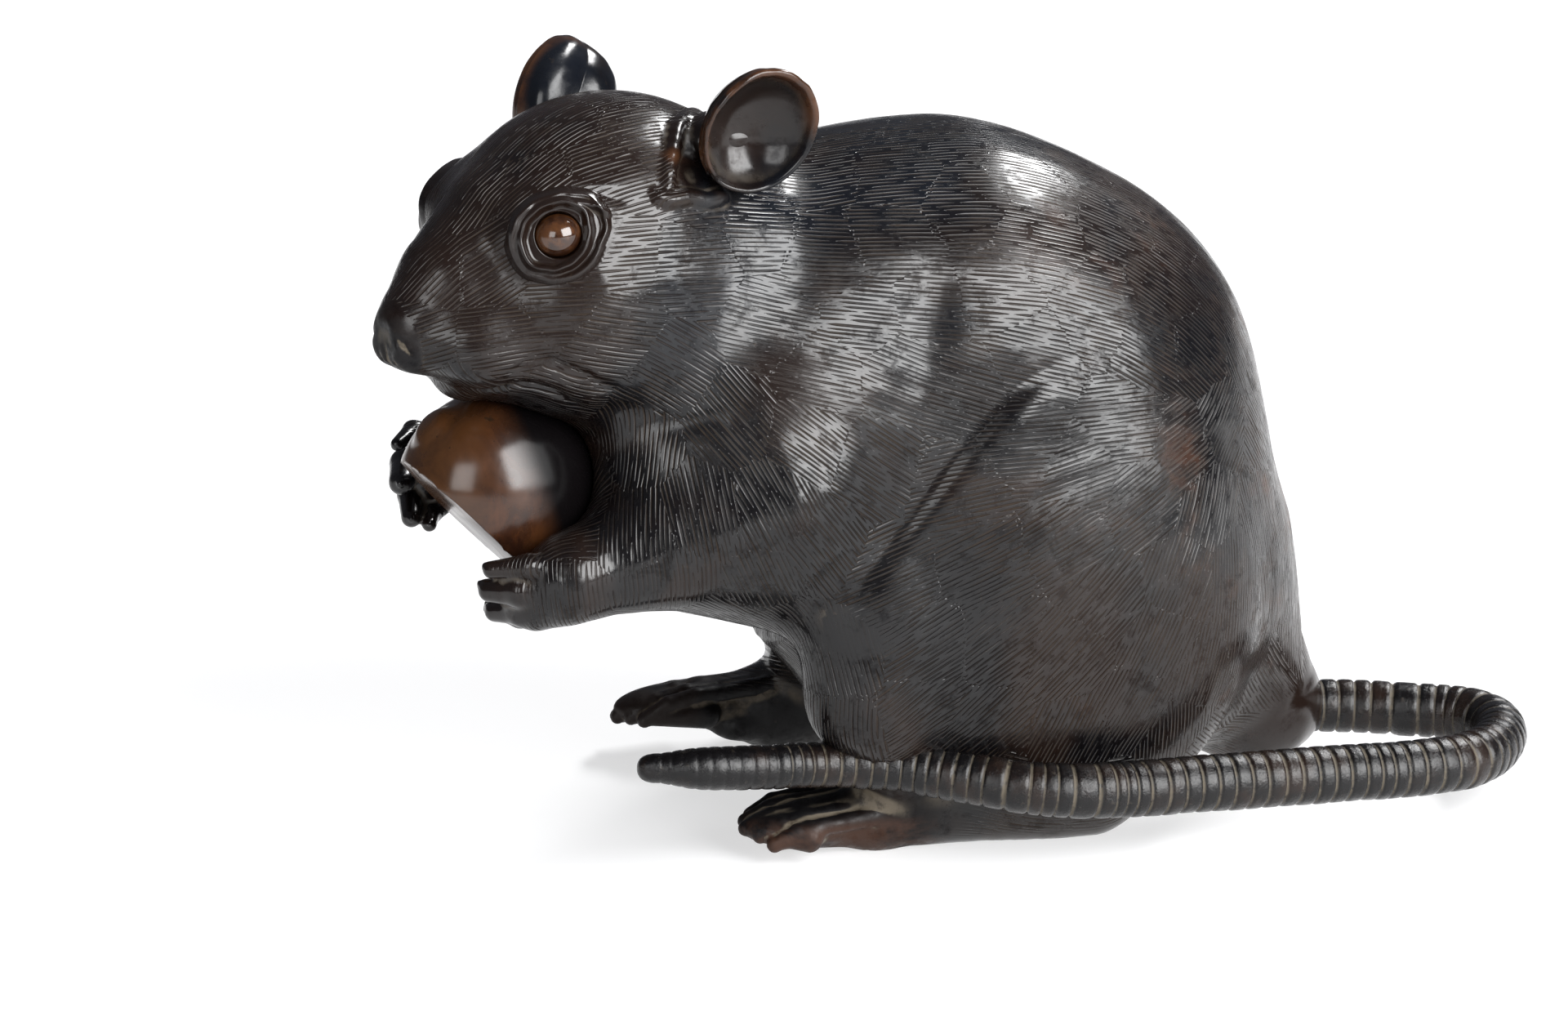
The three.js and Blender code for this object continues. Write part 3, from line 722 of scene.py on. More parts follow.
def valueNoise(u, v, key):  # soft noise on a plane, different for each key
    def corner(i, j):
        h = np.sin(i * 127.1 + j * 311.7 + key * 74.7) * 43758.5453
        return h - np.floor(h)
    i, j = np.floor(u), np.floor(v)
    a, b = u - i, v - j
    a, b = a * a * (3 - 2 * a), b * b * (3 - 2 * b)
    low = corner(i, j) * (1 - a) + corner(i + 1, j) * a
    high = corner(i, j + 1) * (1 - a) + corner(i + 1, j + 1) * a
    return low * (1 - b) + high * b


def bareShare(points):  # 1 where the bronze is smooth: ears, lids, nose, paws, feet, elbows, tail root
    bare = np.zeros(len(points))
    for side in (1, -1):
        centre, out, back, up = eyeFrame(side)
        q = points - centre - back * 0.6
        r = np.hypot(q @ back * 0.86, q @ up)
        bare = np.maximum(bare, (1 - smoothStep(6.2, 7.0, r)) * smoothStep(-8, -5, q @ out))
        base, opening, lean, front = earFrame(side)
        q = points - base
        f, l, o = q @ front, q @ lean, q @ opening
        cup = 1 - smoothStep(0.96, 1.06, np.hypot(f / 9.2, (l - 0.6) / 11))
        band = 1 - smoothStep(0.94, 1.02, np.hypot((f - 2) / 9.2, (l + 2.4) / 9.9))
        band *= smoothStep(-3, -1, -l - f * 0.2)
        bare = np.maximum(bare, np.maximum(cup, band) * smoothStep(-9, -7.5, o))
    tip = onHead(62.5, 0, 81)
    bare = np.maximum(bare, 1 - smoothStep(5.6, 6.2, np.linalg.norm((points - tip) * (1, 1, 0.95), axis=1)))
    for place, size in (((-50.5, -25, 44.5), 5.5), ((-57, 4, 54), 7)):
        bare = np.maximum(bare, 1 - smoothStep(size, size + 3, np.linalg.norm(points - place, axis=1)))
    x, y, z = points.T
    feet = (1 - smoothStep(10, 13, z)) * (1 - smoothStep(16, 26, x))
    root = (1 - smoothStep(16, 20, z + 0.62 * (80 - x))) * smoothStep(64, 70, x)
    elbow = 1 - smoothStep(0.8, 1.05, np.hypot((x - 0.5) / 8, (z - 37) / 4.2))
    below = 1 - smoothStep(1.5, 3, z)
    return np.max([bare, feet, root, 0.85 * elbow * (np.abs(y) > 12), below], axis=0)


def hollowness(piece, rounds):  # how far each point lies below the skin round it, in millimetres
    points, normals = skinArrays(piece)
    soft = points
    for _ in range(rounds):
        soft = neighbourMean(piece.data, soft)
    return np.einsum("ij,ij->i", soft - points, normals)


def wornShare(points):  # 1 where handling has worn the bronze brown: the ears' rims and rolls
    worn = np.zeros(len(points))
    for side in (1, -1):
        base, opening, lean, front = earFrame(side)
        q = points - base
        f, l, o = q @ front, q @ lean, q @ opening
        rim = smoothStep(0.7, 0.92, np.hypot((f + 0.4) / 8.3, (l - 0.9) / 9.8)) * smoothStep(-3.4, -1.6, o)
        rim *= np.maximum(smoothStep(1, 6, l), smoothStep(3.5, 6, f) * smoothStep(-8.4, -7, l))
        worn = np.maximum(worn, rim * (np.hypot(f, l) < 14) * (np.abs(o) < 5))
    return worn


print("fur")
tuft = {"apart": 12, "wide": 2.1, "long": 15, "deep": 0.08}
points, normals = skinArrays(rat)
flow = combed(points, normals)
bare = bareShare(points)
seedRows = patchSeeds(points, tuft["apart"])
seeds, seedFlow, seedNormal = points[seedRows], flow[seedRows], normals[seedRows]
index, distance = nearestSeeds(points, seeds, 4)
relief = np.zeros(len(points))
total = np.zeros(len(points))
for k in range(3):
    seed = index[:, k]
    weight = np.maximum(1 - distance[:, k] / distance[:, 3], 0) ** 1.5 + 1e-6
    q = points - seeds[seed]
    along = np.einsum("ij,ij->i", q, seedFlow[seed]) / tuft["long"]
    across = np.einsum("ij,ij->i", q, np.cross(seedNormal[seed], seedFlow[seed])) / tuft["wide"]
    relief += weight * (valueNoise(across, along, seed % 97) - 0.5)
    total += weight
points += normals * (relief / total * 2 * tuft["deep"] * (1 - bare))[:, None]
points[:, 2] = np.maximum(points[:, 2], 0)
writeSkin(rat, points)

count = sum(len(p.vertices) - 2 for p in rat.data.polygons)
print("skin has", count, "triangles before it is thinned")
makeActive(rat)
if count > skin["faces"]:
    rat.modifiers.new("thin", "DECIMATE").ratio = skin["faces"] / count
    applyAll(rat)


def cornerAttribute(mesh, name, kind, values):
    attribute = mesh.attributes.new(name, kind, "CORNER")
    field = "vector" if kind == "FLOAT_VECTOR" else "value"
    attribute.data.foreach_set(field, np.ravel(values).astype(np.float32))


def pointAttribute(mesh, name, values):
    attribute = mesh.attributes.new(name, "FLOAT", "POINT")
    attribute.data.foreach_set("value", np.asarray(values, np.float32))


# Each patch of fur carries its own strokes, laid along the way the fur is combed there.
def layPatches(piece):
    mesh = piece.data
    points, normals = skinArrays(piece)
    flow = combed(points, normals)
    rows = patchSeeds(points, patch["apart"])
    seeds, ways, ups = points[rows], flow[rows], normals[rows]
    corners = np.empty(len(mesh.loops), int)
    mesh.loops.foreach_get("vertex_index", corners)
    starts = np.empty(len(mesh.polygons), int)
    sizes = np.empty(len(mesh.polygons), int)
    mesh.polygons.foreach_get("loop_start", starts)
    mesh.polygons.foreach_get("loop_total", sizes)
    faceOf = np.repeat(np.arange(len(starts)), sizes)
    centres = np.empty(len(starts) * 3)
    mesh.polygons.foreach_get("center", centres)
    centres = centres.reshape(-1, 3) / mm + wholeMiddle
    index, _ = nearestSeeds(centres, seeds, 2)
    offsets = rng.uniform(0, 500, (len(seeds), 2))
    distance = []
    for k, name in enumerate(("furA", "furB")):
        seed = index[faceOf, k]
        q = points[corners] - seeds[seed]
        along = np.einsum("ij,ij->i", q, ways[seed]) / patch["long"] + offsets[seed, 0]
        across = np.einsum("ij,ij->i", q, np.cross(ups[seed], ways[seed])) / patch["pitch"]
        across = across + offsets[seed, 1]
        cornerAttribute(mesh, name, "FLOAT_VECTOR", np.stack([across, along, 0 * along], 1))
        distance.append(np.linalg.norm(q, axis=1))
    cornerAttribute(mesh, "furLead", "FLOAT", distance[1] - distance[0])
    pointAttribute(mesh, "bare", bareShare(points))
    pointAttribute(mesh, "hollow", hollowness(piece, 5))
    pointAttribute(mesh, "worn", wornShare(points))
    x, _, z = points.T
    onFoot = (1 - smoothStep(10, 14, z)) * (1 - smoothStep(12, 20, x))
    onNose = 1 - smoothStep(5, 6, np.linalg.norm(points - onHead(62, 0, 80.5), axis=1))
    pointAttribute(mesh, "dull", np.maximum(onFoot, onNose))


layPatches(rat)
for polygon in rat.data.polygons:
    polygon.use_smooth = True
print("skin", len(rat.data.polygons), "triangles")


def gridFaces(rows, sides):
    r, i = np.meshgrid(np.arange(rows - 1), np.arange(sides), indexing="ij")
    j = (i + 1) % sides
    quads = np.stack([r * sides + i, r * sides + j, (r + 1) * sides + j, (r + 1) * sides + i], -1)
    return quads.reshape(-1, 4)


def faceOutward(piece):
    makeActive(piece)
    bpy.ops.object.mode_set(mode="EDIT")
    bpy.ops.mesh.select_all(action="SELECT")
    bpy.ops.mesh.normals_make_consistent(inside=False)
    bpy.ops.object.mode_set(mode="OBJECT")
    bpy.ops.object.shade_smooth()


def capEnds(piece):  # closes a tube's two ends
    makeActive(piece)
    bpy.ops.object.mode_set(mode="EDIT")
    bpy.ops.mesh.select_all(action="SELECT")
    bpy.ops.mesh.remove_doubles(threshold=0.00004)
    bpy.ops.mesh.select_all(action="DESELECT")
    bpy.ops.mesh.select_non_manifold()
    bpy.ops.mesh.fill()
    bpy.ops.object.mode_set(mode="OBJECT")
    faceOutward(piece)


# The tail: a tube of rings with a groove between each two
tail = {
    "path": [(80, -1, 9.6), (88.4, -2.5, 9.2), (97.4, -6, 8.9), (104.4, -9.6, 8.8), (107.6, -14.5, 8.8),
             (106.9, -20.8, 8.8), (102.6, -28, 8.8), (96.2, -33.2, 9), (88.6, -35.4, 9.3), (71, -36.5, 10),
             (51, -37.6, 10.8), (35, -38.8, 11.7), (25.7, -37.3, 12.6), (17.2, -33, 13.6), (9, -29, 14.6),
             (-0.8, -27.3, 15.5), (-11, -28, 16.3), (-20.8, -27.8, 16.9), (-27.7, -26.5, 17.2)],
    "rings": 74, "root": 4.02, "tip": 3.0, "groove": 0.4, "grooveShare": 0.085, "rootRingsWider": 0.22,
    "sides": 44, "rows": 9, "swell": 0.05, "tipNarrower": 0.3, "ringRound": 0.1, "ringWander": 1.3,
    "unevenRings": 0.10, "unevenRows": 0.16,
}


def tailTube():
    line = smoothLine(tail["path"], 1200)
    share = np.linspace(0, 1, tail["rings"] * tail["rows"] + 1)
    run = share * (1 + tail["rootRingsWider"] * (1 - share))
    centres = np.stack([np.interp(run, np.linspace(0, 1, 1200), line[:, i]) for i in range(3)], 1)
    ringPhase = share * tail["rings"] + tail["ringWander"] * (valueNoise(share * 31, 0 * share, 21) - 0.5)
    inRing = ringPhase - np.floor(ringPhase)
    worn = 1 - 0.9 * smoothStep(0.84, 0.95, run)  # the rings are worn away near the tip
    groove = tail["groove"] * worn * np.exp(-(np.minimum(inRing, 1 - inRing) / tail["grooveShare"]) ** 2)
    taper = np.maximum(0, (run - 0.6) / 0.4)
    radius = tail["root"] + (tail["tip"] - tail["root"]) * taper
    radius = radius * (1 + tail["swell"] * np.sin(np.pi * np.minimum(1, run / 0.8)))
    radius = radius * (1 - tail["tipNarrower"] * smoothStep(0.95, 1.0, run) ** 2)
    radius = radius + tail["ringRound"] * np.sin(np.pi * inRing) ** 0.5 - 0.08
    end = unit(line[-1] - line[-8])
    tipRows = np.linspace(0, 1, 9)[1:]
    centres = np.vstack([centres, line[-1] + np.outer(2.4 * np.sin(tipRows * np.pi / 2), end)])
    radius = np.concatenate([radius, (tail["tip"] * 0.69) * np.cos(tipRows * np.pi / 2) ** 0.8])
    groove = np.concatenate([groove, 0 * tipRows])
    along = unit(np.gradient(centres[:len(share)], axis=0))
    along = np.vstack([along, np.repeat(along[-1:], len(tipRows), 0)])
    across = unit(np.cross((0.03, -0.02, 1), along))
    up = np.cross(along, across)
    angles = np.linspace(0, 2 * np.pi, tail["sides"], endpoint=False)
    key = np.arange(len(centres)) // tail["rows"]
    points, ring = [], []
    for angle in angles:
        inRings = valueNoise(key * 0.9 + 0.5, np.full(len(key), angle * 1.4), 3) - 0.5
        inRows = valueNoise(np.arange(len(key)) * 0.08, np.full(len(key), angle * 0.8), 9) - 0.5
        uneven = tail["unevenRings"] * inRings + tail["unevenRows"] * inRows
        deep = groove * (0.75 + 0.5 * valueNoise(key * 0.7, np.full(len(key), angle * 1.1), 5))
        r = np.maximum(radius + uneven * (radius > 1) - deep, 0.02)
        spoke = across * (r * math.cos(angle))[:, None] + up * (r * math.sin(angle))[:, None]
        points.append(centres + spoke)
        ring.append(deep / tail["groove"])
    points = np.stack(points, 1).reshape(-1, 3)
    piece = meshPiece("tail", points, gridFaces(len(centres), tail["sides"]))
    pointAttribute(piece.data, "groove", np.stack(ring, 1).ravel())
    capEnds(piece)
    return piece


def earPiece(name, side):
    base, opening, lean, front = earFrame(side)
    profile = [(share * 9, height, 0) for share, height in ear["profile"]]
    profile = smoothLine(profile, ear["rows"]) / (9, 1, 1)
    angle = np.linspace(0, 2 * np.pi, ear["turns"], endpoint=False)[None, :]
    share, height = profile[:, :1] + 0 * angle, profile[:, 1:2] + 0 * angle
    degrees = (np.degrees(angle) + 180) % 360 - 180 + 0 * share  # 0 is the front edge, 90 the top
    inner = (np.arange(ear["rows"]) < ear["rows"] * 0.53)[:, None]
    rim = ridgeAt(share - 0.98, 0.1)
    nick = valueNoise(degrees / 9 + 40, 0 * degrees, 4 + side) - 0.5
    height = height + ear["wave"] * 2 * rim * (valueNoise(degrees / 22 + 40, 0 * degrees, 8 + side) - 0.5)
    share = share * (1 + 0.02 * rim * nick)
    roll = smoothStep(ear["rollFrom"], 15, degrees) * smoothStep(ear["rollTo"] - 14, ear["rollTo"], degrees)
    roll = roll * (0.75 + 0.35 * smoothStep(10, -45, degrees))
    height = height + ear["roll"] * roll * ridgeAt(share - 0.96, 0.09)
    hem = ridgeAt((degrees + 95) / 34, 1)
    height = height + ear["hem"] * hem * ridgeAt(share - 0.95, 0.1)
    share = share + 0.035 * (roll + hem) * rim * np.where(inner, -1.0, 1.0)
    f = ear["size"][side][0] * share * np.cos(angle) + ear["shift"][side][0] + ear["sag"][0] * (1 - share)
    l = ear["size"][side][1] * share * np.sin(angle) + ear["shift"][side][1] + ear["sag"][1] * (1 - share)
    height = height - ear["keel"][side] * (np.abs(f - 0.5) - 3)
    places = base + f[..., None] * front + l[..., None] * lean + height[..., None] * opening
    piece = meshPiece(name, places.reshape(-1, 3), gridFaces(ear["rows"], ear["turns"]))
    capEnds(piece)
    return piece


def skinDepth(places, out):  # how far along out the wax's skin is from each place
    depth = np.zeros(len(places))
    for _ in range(14):
        depth -= 0.8 * outside(bodyLumps, places + np.outer(depth, out))
    return depth


def lidPiece(name, side):  # a ring of metal: its top is the lids, its underside lies in the head
    centre, out, back, up = eyeFrame(side)
    angle = np.linspace(0, 2 * np.pi, eye["turns"], endpoint=False)[None, :]
    share = np.linspace(0, 1, eye["rows"])[:, None]
    lid, outer = roundAbout(eye["lid"], angle), roundAbout(eye["outer"], angle)
    inside = eye["inside"]
    r = inside + (outer + eye["border"] - inside) * share
    a, b = r * np.cos(angle), r * np.sin(angle)
    flat = np.stack([a.ravel(), b.ravel(), 0 * a.ravel()], 1)
    fold = nearLine(flat, smoothLine([(u, v, 0) for u, v in eye["fold"]], 12))[0].reshape(a.shape)
    start = centre + a.reshape(-1, 1) * back + b.reshape(-1, 1) * up
    head = skinDepth(start, out).reshape(a.shape)
    blend = smoothStep(0.75, 1.05, r / outer)
    height = (eye["dome"] - eye["domeFall"] * r ** 2) * (1 - blend) + head * blend
    inner = np.maximum(eye["lidRise"] * ridgeAt(r - lid, eye["lidWidth"]), ridgeAt(fold, eye["foldWidth"]))
    ridges = inner + eye["outerRise"] * ridgeAt(r - outer, eye["outerWidth"])
    height += ridges - eye["drop"] * (1 - smoothStep(2.75, 3.4, r))
    height -= 0.35 * smoothStep(outer + 0.5, outer + eye["border"], r)
    a, b = np.vstack([a, a[-1:], a[:1]]), np.vstack([b, b[-1:], b[:1]])
    height = np.vstack([height, height[-1:] - 1.5, height[:1] - 1.5])
    places = centre + a.reshape(-1, 1) * back + b.reshape(-1, 1) * up + height.reshape(-1, 1) * out
    faces = gridFaces(eye["rows"] + 3, eye["turns"]) % len(places)
    piece = meshPiece(name, places, faces)
    faceOutward(piece)
    return piece


def eyeBall(name, side):
    centre, out, back, up = eyeFrame(side)
    deselectAll()
    bpy.ops.mesh.primitive_uv_sphere_add(segments=48, ring_count=24, radius=eye["ball"] * mm,
                                         location=toFrame(centre - out * (eye["ball"] - eye["proud"])))
    ball = bpy.context.object
    ball.name = name
    ball.rotation_euler = Matrix(np.stack([back, up * side, out], 1).tolist()).to_euler()
    ball.scale = (1.06, 0.96, 1.0)
    bpy.ops.object.transform_apply(location=True, rotation=True, scale=True)
    bpy.ops.object.shade_smooth()
    return ball


def chestnutPiece():
    turned = nutFrame()
    deselectAll()
    bpy.ops.mesh.primitive_uv_sphere_add(segments=96, ring_count=64, radius=1)
    piece = bpy.context.object
    piece.name = "chestnut_polished"
    mesh = piece.data
    p = np.empty(len(mesh.vertices) * 3)
    mesh.vertices.foreach_get("co", p)
    p = p.reshape(-1, 3)
    out = np.hypot(p[:, 0], p[:, 1])
    fuller = out ** 0.86 / np.maximum(out, 1e-6)
    angle = np.arctan2(p[:, 1], p[:, 0])
    point = np.where(p[:, 2] < -0.97, 1 + 0.08 * smoothStep(0.97, 1, -p[:, 2]), 1)
    ripple = 1 + 0.006 * np.sin(3 * angle + 0.6) + 0.004 * np.sin(5 * angle + p[:, 2] * 3)
    local = np.stack([p[:, 0] * fuller * ripple * nut["wide"], p[:, 2] * nut["long"] * point,
                      -p[:, 1] * fuller * ripple * nut["thick"]], 1)
    mesh.vertices.foreach_set("co", toFrame(local @ turned.T + nut["centre"]).ravel())
    mesh.update()
    bpy.ops.object.mode_set(mode="EDIT")
    bpy.ops.mesh.select_all(action="SELECT")
    facing = unit(nut["flatFacing"])
    where = toFrame(np.array(nut["centre"]) + facing * nut["flatAt"])
    bpy.ops.mesh.bisect(plane_co=where, plane_no=facing, use_fill=True, clear_outer=True)
    bpy.ops.mesh.select_all(action="SELECT")
    bpy.ops.mesh.normals_make_consistent(inside=False)
    bpy.ops.object.mode_set(mode="OBJECT")
    bevel = piece.modifiers.new("worn edge", "BEVEL")
    bevel.width = nut["edge"] * mm
    bevel.segments = 5
    bevel.limit_method = "ANGLE"
    bevel.angle_limit = math.radians(35)
    applyAll(piece)
    bpy.ops.object.shade_smooth()
    return piece


print("tail, eyes and chestnut")
tailPiece = tailTube()
eyeLeft = eyeBall("eye_left", 1)
eyeRight = eyeBall("eye_right", -1)
chestnut = chestnutPiece()
earLeft, earRight = earPiece("ear_left", 1), earPiece("ear_right", -1)
lidLeft, lidRight = lidPiece("lids_left", 1), lidPiece("lids_right", -1)
for piece in (earLeft, earRight, lidLeft, lidRight):
    points, normals = skinArrays(piece)
    pointAttribute(piece.data, "bare", np.ones(len(points)))
    pointAttribute(piece.data, "hollow", hollowness(piece, 6))
    pointAttribute(piece.data, "worn", wornShare(points))


def nodeIn(tree, kind, settings=None, **inputs):
    node = tree.nodes.new("ShaderNode" + kind)
    for key, value in (settings or {}).items():
        setattr(node, key, value)
    for key, value in inputs.items():
        numbered = key[0] == "i" and key[1:].isdigit()  # i0 is the first socket
        socket = node.inputs[int(key[1:]) if numbered else key]
        if isinstance(value, bpy.types.NodeSocket):
            tree.links.new(value, socket)
        else:
            socket.default_value = value
    return node


def mathIn(tree, operation, a, b=0.0, c=0.0, clamp=False):
    return nodeIn(tree, "Math", {"operation": operation, "use_clamp": clamp}, i0=a, i1=b, i2=c).outputs[0]


def times(tree, a, b, clamp=False):
    return mathIn(tree, "MULTIPLY", a, b, clamp=clamp)


def ramp(tree, value, low, high, start=0.0, end=1.0):
    return nodeIn(tree, "MapRange", {"interpolation_type": "SMOOTHSTEP"},
                  i0=value, i1=low, i2=high, i3=start, i4=end).outputs[0]


def mixColour(tree, amount, a, b):
    return nodeIn(tree, "Mix", {"data_type": "RGBA"}, i0=amount, i6=a, i7=b).outputs[2]


def mixValue(tree, amount, a, b):
    return nodeIn(tree, "Mix", {"data_type": "FLOAT"}, i0=amount, i2=a, i3=b).outputs[0]


def attributeOf(tree, name, output="Fac"):
    return nodeIn(tree, "Attribute", {"attribute_name": name}).outputs[output]


def noiseOf(tree, place, scale, detail=3.0, rough=0.55, distortion=0.0):
    return nodeIn(tree, "TexNoise", Vector=place, Scale=scale, Detail=detail, Roughness=rough,
                  Distortion=distortion).outputs["Fac"]


def newMaterial(name):
    material = bpy.data.materials.new(name)
    material.use_nodes = True
    tree = material.node_tree
    tree.nodes.clear()
    shader = tree.nodes.new("ShaderNodeBsdfPrincipled")
    output = tree.nodes.new("ShaderNodeOutputMaterial")
    tree.links.new(shader.outputs[0], output.inputs[0])
    place = nodeIn(tree, "TexCoord").outputs["Object"]
    return material, tree, shader, place


def link(tree, value, socket):
    tree.links.new(value, socket)


# Engraved strokes: long, side by side, each with its own start and depth
def strokeGroove(tree, name):
    place = attributeOf(tree, name, "Vector")
    lay = nodeIn(tree, "SeparateXYZ", Vector=place)
    wander = nodeIn(tree, "TexNoise", Vector=place, Scale=0.3, Detail=1.0).outputs["Fac"]
    across = mathIn(tree, "MULTIPLY_ADD", wander, 0.9, lay.outputs[0])
    row = mathIn(tree, "FLOOR", across)
    luck = nodeIn(tree, "TexWhiteNoise", {"noise_dimensions": "1D"}, W=row).outputs["Color"]
    luck = nodeIn(tree, "SeparateXYZ", Vector=luck)
    along = mathIn(tree, "FRACT", mathIn(tree, "MULTIPLY_ADD", luck.outputs[0], 5.0, lay.outputs[1]))
    aside = mathIn(tree, "ABSOLUTE", mathIn(tree, "SUBTRACT", mathIn(tree, "FRACT", across), 0.5))
    ends = times(tree, ramp(tree, along, 0.0, 0.22), ramp(tree, along, 1.0, 0.66))
    width = mathIn(tree, "MULTIPLY_ADD", ends, 0.2, 0.1)
    profile = ramp(tree, mathIn(tree, "DIVIDE", aside, width), 1.0, 0.15)
    depth = mathIn(tree, "MULTIPLY_ADD", luck.outputs[1], 0.5, 0.5)
    return times(tree, times(tree, profile, depth), ramp(tree, ends, 0.0, 0.3))


# Colours of the dark bronze, of the dust in its hollows and of the wear on its edges, and a painted cool
# sheen (painted reflection) for the top of the back
bronze = {
    "dark": (0.0024, 0.0021, 0.0025, 1), "paintedCoolSheen": (0.0032, 0.0042, 0.0066, 1),
    "warm": (0.0085, 0.0048, 0.0036, 1), "rust": (0.030, 0.0120, 0.0062, 1),
    "dust": (0.034, 0.024, 0.017, 1), "pit": (0.070, 0.056, 0.040, 1), "worn": (0.060, 0.024, 0.010, 1),
    "foot": (0.034, 0.0165, 0.0105, 1), "footDust": (0.110, 0.092, 0.068, 1),
}


def furBronze():
    material, tree, shader, place = newMaterial("combed_dark_bronze")
    bare, hollow, dull = (attributeOf(tree, name) for name in ("bare", "hollow", "dull"))
    first, second = strokeGroove(tree, "furA"), strokeGroove(tree, "furB")
    ragged = times(tree, mathIn(tree, "SUBTRACT", noiseOf(tree, place, 240.0, 2.0), 0.5), 6.0)
    choose = ramp(tree, mathIn(tree, "ADD", attributeOf(tree, "furLead"), ragged), -0.3, 0.3)
    crisp = ramp(tree, noiseOf(tree, place, 60.0, 4.0), 0.32, 0.55, 0.45, 1.0)
    furDepth = times(tree, mathIn(tree, "SUBTRACT", 1.0, bare), crisp)
    groove = times(tree, mixValue(tree, choose, second, first), furDepth)

    broad = noiseOf(tree, place, 26.0, 4.0, 0.6, 0.6)
    patches = noiseOf(tree, place, 75.0, 6.0, 0.68, 0.3)
    specks = noiseOf(tree, place, 520.0, 4.0, 0.7)
    x, y, z = nodeIn(tree, "SeparateXYZ", Vector=place).outputs
    rear = ramp(tree, x, -0.010, 0.045)
    # Painted reflection: the top of the back is tinted blue-black by height, standing in for the sheen of a
    # dark ceiling
    top = times(tree, ramp(tree, z, 0.066, 0.096), ramp(tree, broad, 0.55, 0.4))
    pit = times(tree, ramp(tree, hollow, 0.02, 0.16), bare)
    pit = times(tree, pit, ramp(tree, specks, 0.34, 0.6, 0.35, 1.0))
    worn = times(tree, attributeOf(tree, "worn"), ramp(tree, patches, 0.36, 0.6))
    nearSide = times(tree, dull, ramp(tree, y, 0.005, -0.005))
    footLow = times(tree, ramp(tree, z, 0.0068, 0.0048), ramp(tree, patches, 0.34, 0.52))
    footDust = times(tree, ramp(tree, hollow, -0.01, 0.07), ramp(tree, specks, 0.3, 0.55, 0.3, 1.0))
    footDust = times(tree, footDust, times(tree, nearSide, ramp(tree, footLow, 1.0, 0.3)))
    layers = [
        (ramp(tree, broad, 0.46, 0.62), "warm"),
        (times(tree, rear, ramp(tree, patches, 0.46, 0.62), clamp=True), "warm"),
        (times(tree, rear, ramp(tree, patches, 0.57, 0.70), clamp=True), "rust"),
        # painted reflection on the top of the back
        (top, "paintedCoolSheen"),
        (times(tree, groove, ramp(tree, patches, 0.35, 0.65, 0.15, 0.8)), "dust"),
        (times(tree, ramp(tree, specks, 0.66, 0.76), 0.5), "dust"),
        (times(tree, pit, 0.75), "pit"),
        (times(tree, worn, 0.9), "worn"),
        (times(tree, footLow, nearSide), "foot"),
        (times(tree, footDust, 0.85), "footDust"),
    ]
    colour = bronze["dark"]
    for amount, name in layers:
        colour = mixColour(tree, amount, colour, bronze[name])
    link(tree, colour, shader.inputs["Base Color"])

    blotches = ramp(tree, noiseOf(tree, place, 210.0, 5.0, 0.75, 0.2), 0.50, 0.68)
    rough = mixValue(tree, ramp(tree, patches, 0.38, 0.68), 0.15, 0.24)
    rough = mixValue(tree, blotches, rough, 0.36)
    rough = mathIn(tree, "ADD", rough, times(tree, groove, 0.28), clamp=True)
    smooth = mixValue(tree, ramp(tree, patches, 0.42, 0.7), 0.16, 0.36)
    smooth = mathIn(tree, "ADD", smooth, times(tree, pit, 0.5), clamp=True)
    rough = mixValue(tree, bare, rough, smooth)
    rough = mixValue(tree, dull, rough, ramp(tree, specks, 0.35, 0.6, 0.34, 0.6))
    link(tree, rough, shader.inputs["Roughness"])
    shine = times(tree, mixValue(tree, blotches, 0.42, 0.2), mixValue(tree, groove, 1.0, 0.25))
    shine = times(tree, shine, mixValue(tree, dull, 1.0, 0.5))
    link(tree, shine, shader.inputs["Specular IOR Level"])
    fineGrain = noiseOf(tree, place, 900.0, 3.0)
    grainBump = nodeIn(tree, "Bump", Height=fineGrain, Distance=0.00003, Strength=0.6)
    level = mathIn(tree, "SUBTRACT", 1.0, groove)
    bump = nodeIn(tree, "Bump", Height=level, Distance=0.00015, Strength=1.0, Normal=grainBump.outputs[0])
    link(tree, bump.outputs[0], shader.inputs["Normal"])
    return material


ringed = {"dark": (0.0028, 0.0025, 0.0028, 1), "brown": (0.012, 0.0068, 0.0048, 1),
          "speck": (0.045, 0.037, 0.028, 1), "dust": (0.105, 0.088, 0.064, 1)}


def tailBronze():
    material, tree, shader, place = newMaterial("ringed_dark_bronze")
    groove = attributeOf(tree, "groove")
    patches = noiseOf(tree, place, 120.0, 5.0, 0.65)
    fine = noiseOf(tree, place, 800.0, 5.0, 0.75)
    colour = mixColour(tree, ramp(tree, patches, 0.46, 0.7), ringed["dark"], ringed["brown"])
    dusty = times(tree, ramp(tree, groove, 0.2, 0.8), ramp(tree, fine, 0.36, 0.56, 0.25, 1.0))
    colour = mixColour(tree, times(tree, ramp(tree, fine, 0.60, 0.70), 0.5), colour, ringed["speck"])
    colour = mixColour(tree, times(tree, dusty, 0.8), colour, ringed["dust"])
    link(tree, colour, shader.inputs["Base Color"])
    rough = ramp(tree, fine, 0.35, 0.7, 0.12, 0.34)
    rough = mathIn(tree, "ADD", rough, times(tree, dusty, 0.5), clamp=True)
    link(tree, rough, shader.inputs["Roughness"])
    shader.inputs["Specular IOR Level"].default_value = 0.34
    bump = nodeIn(tree, "Bump", Height=fine, Distance=0.00016, Strength=0.9)
    link(tree, bump.outputs[0], shader.inputs["Normal"])
    return material


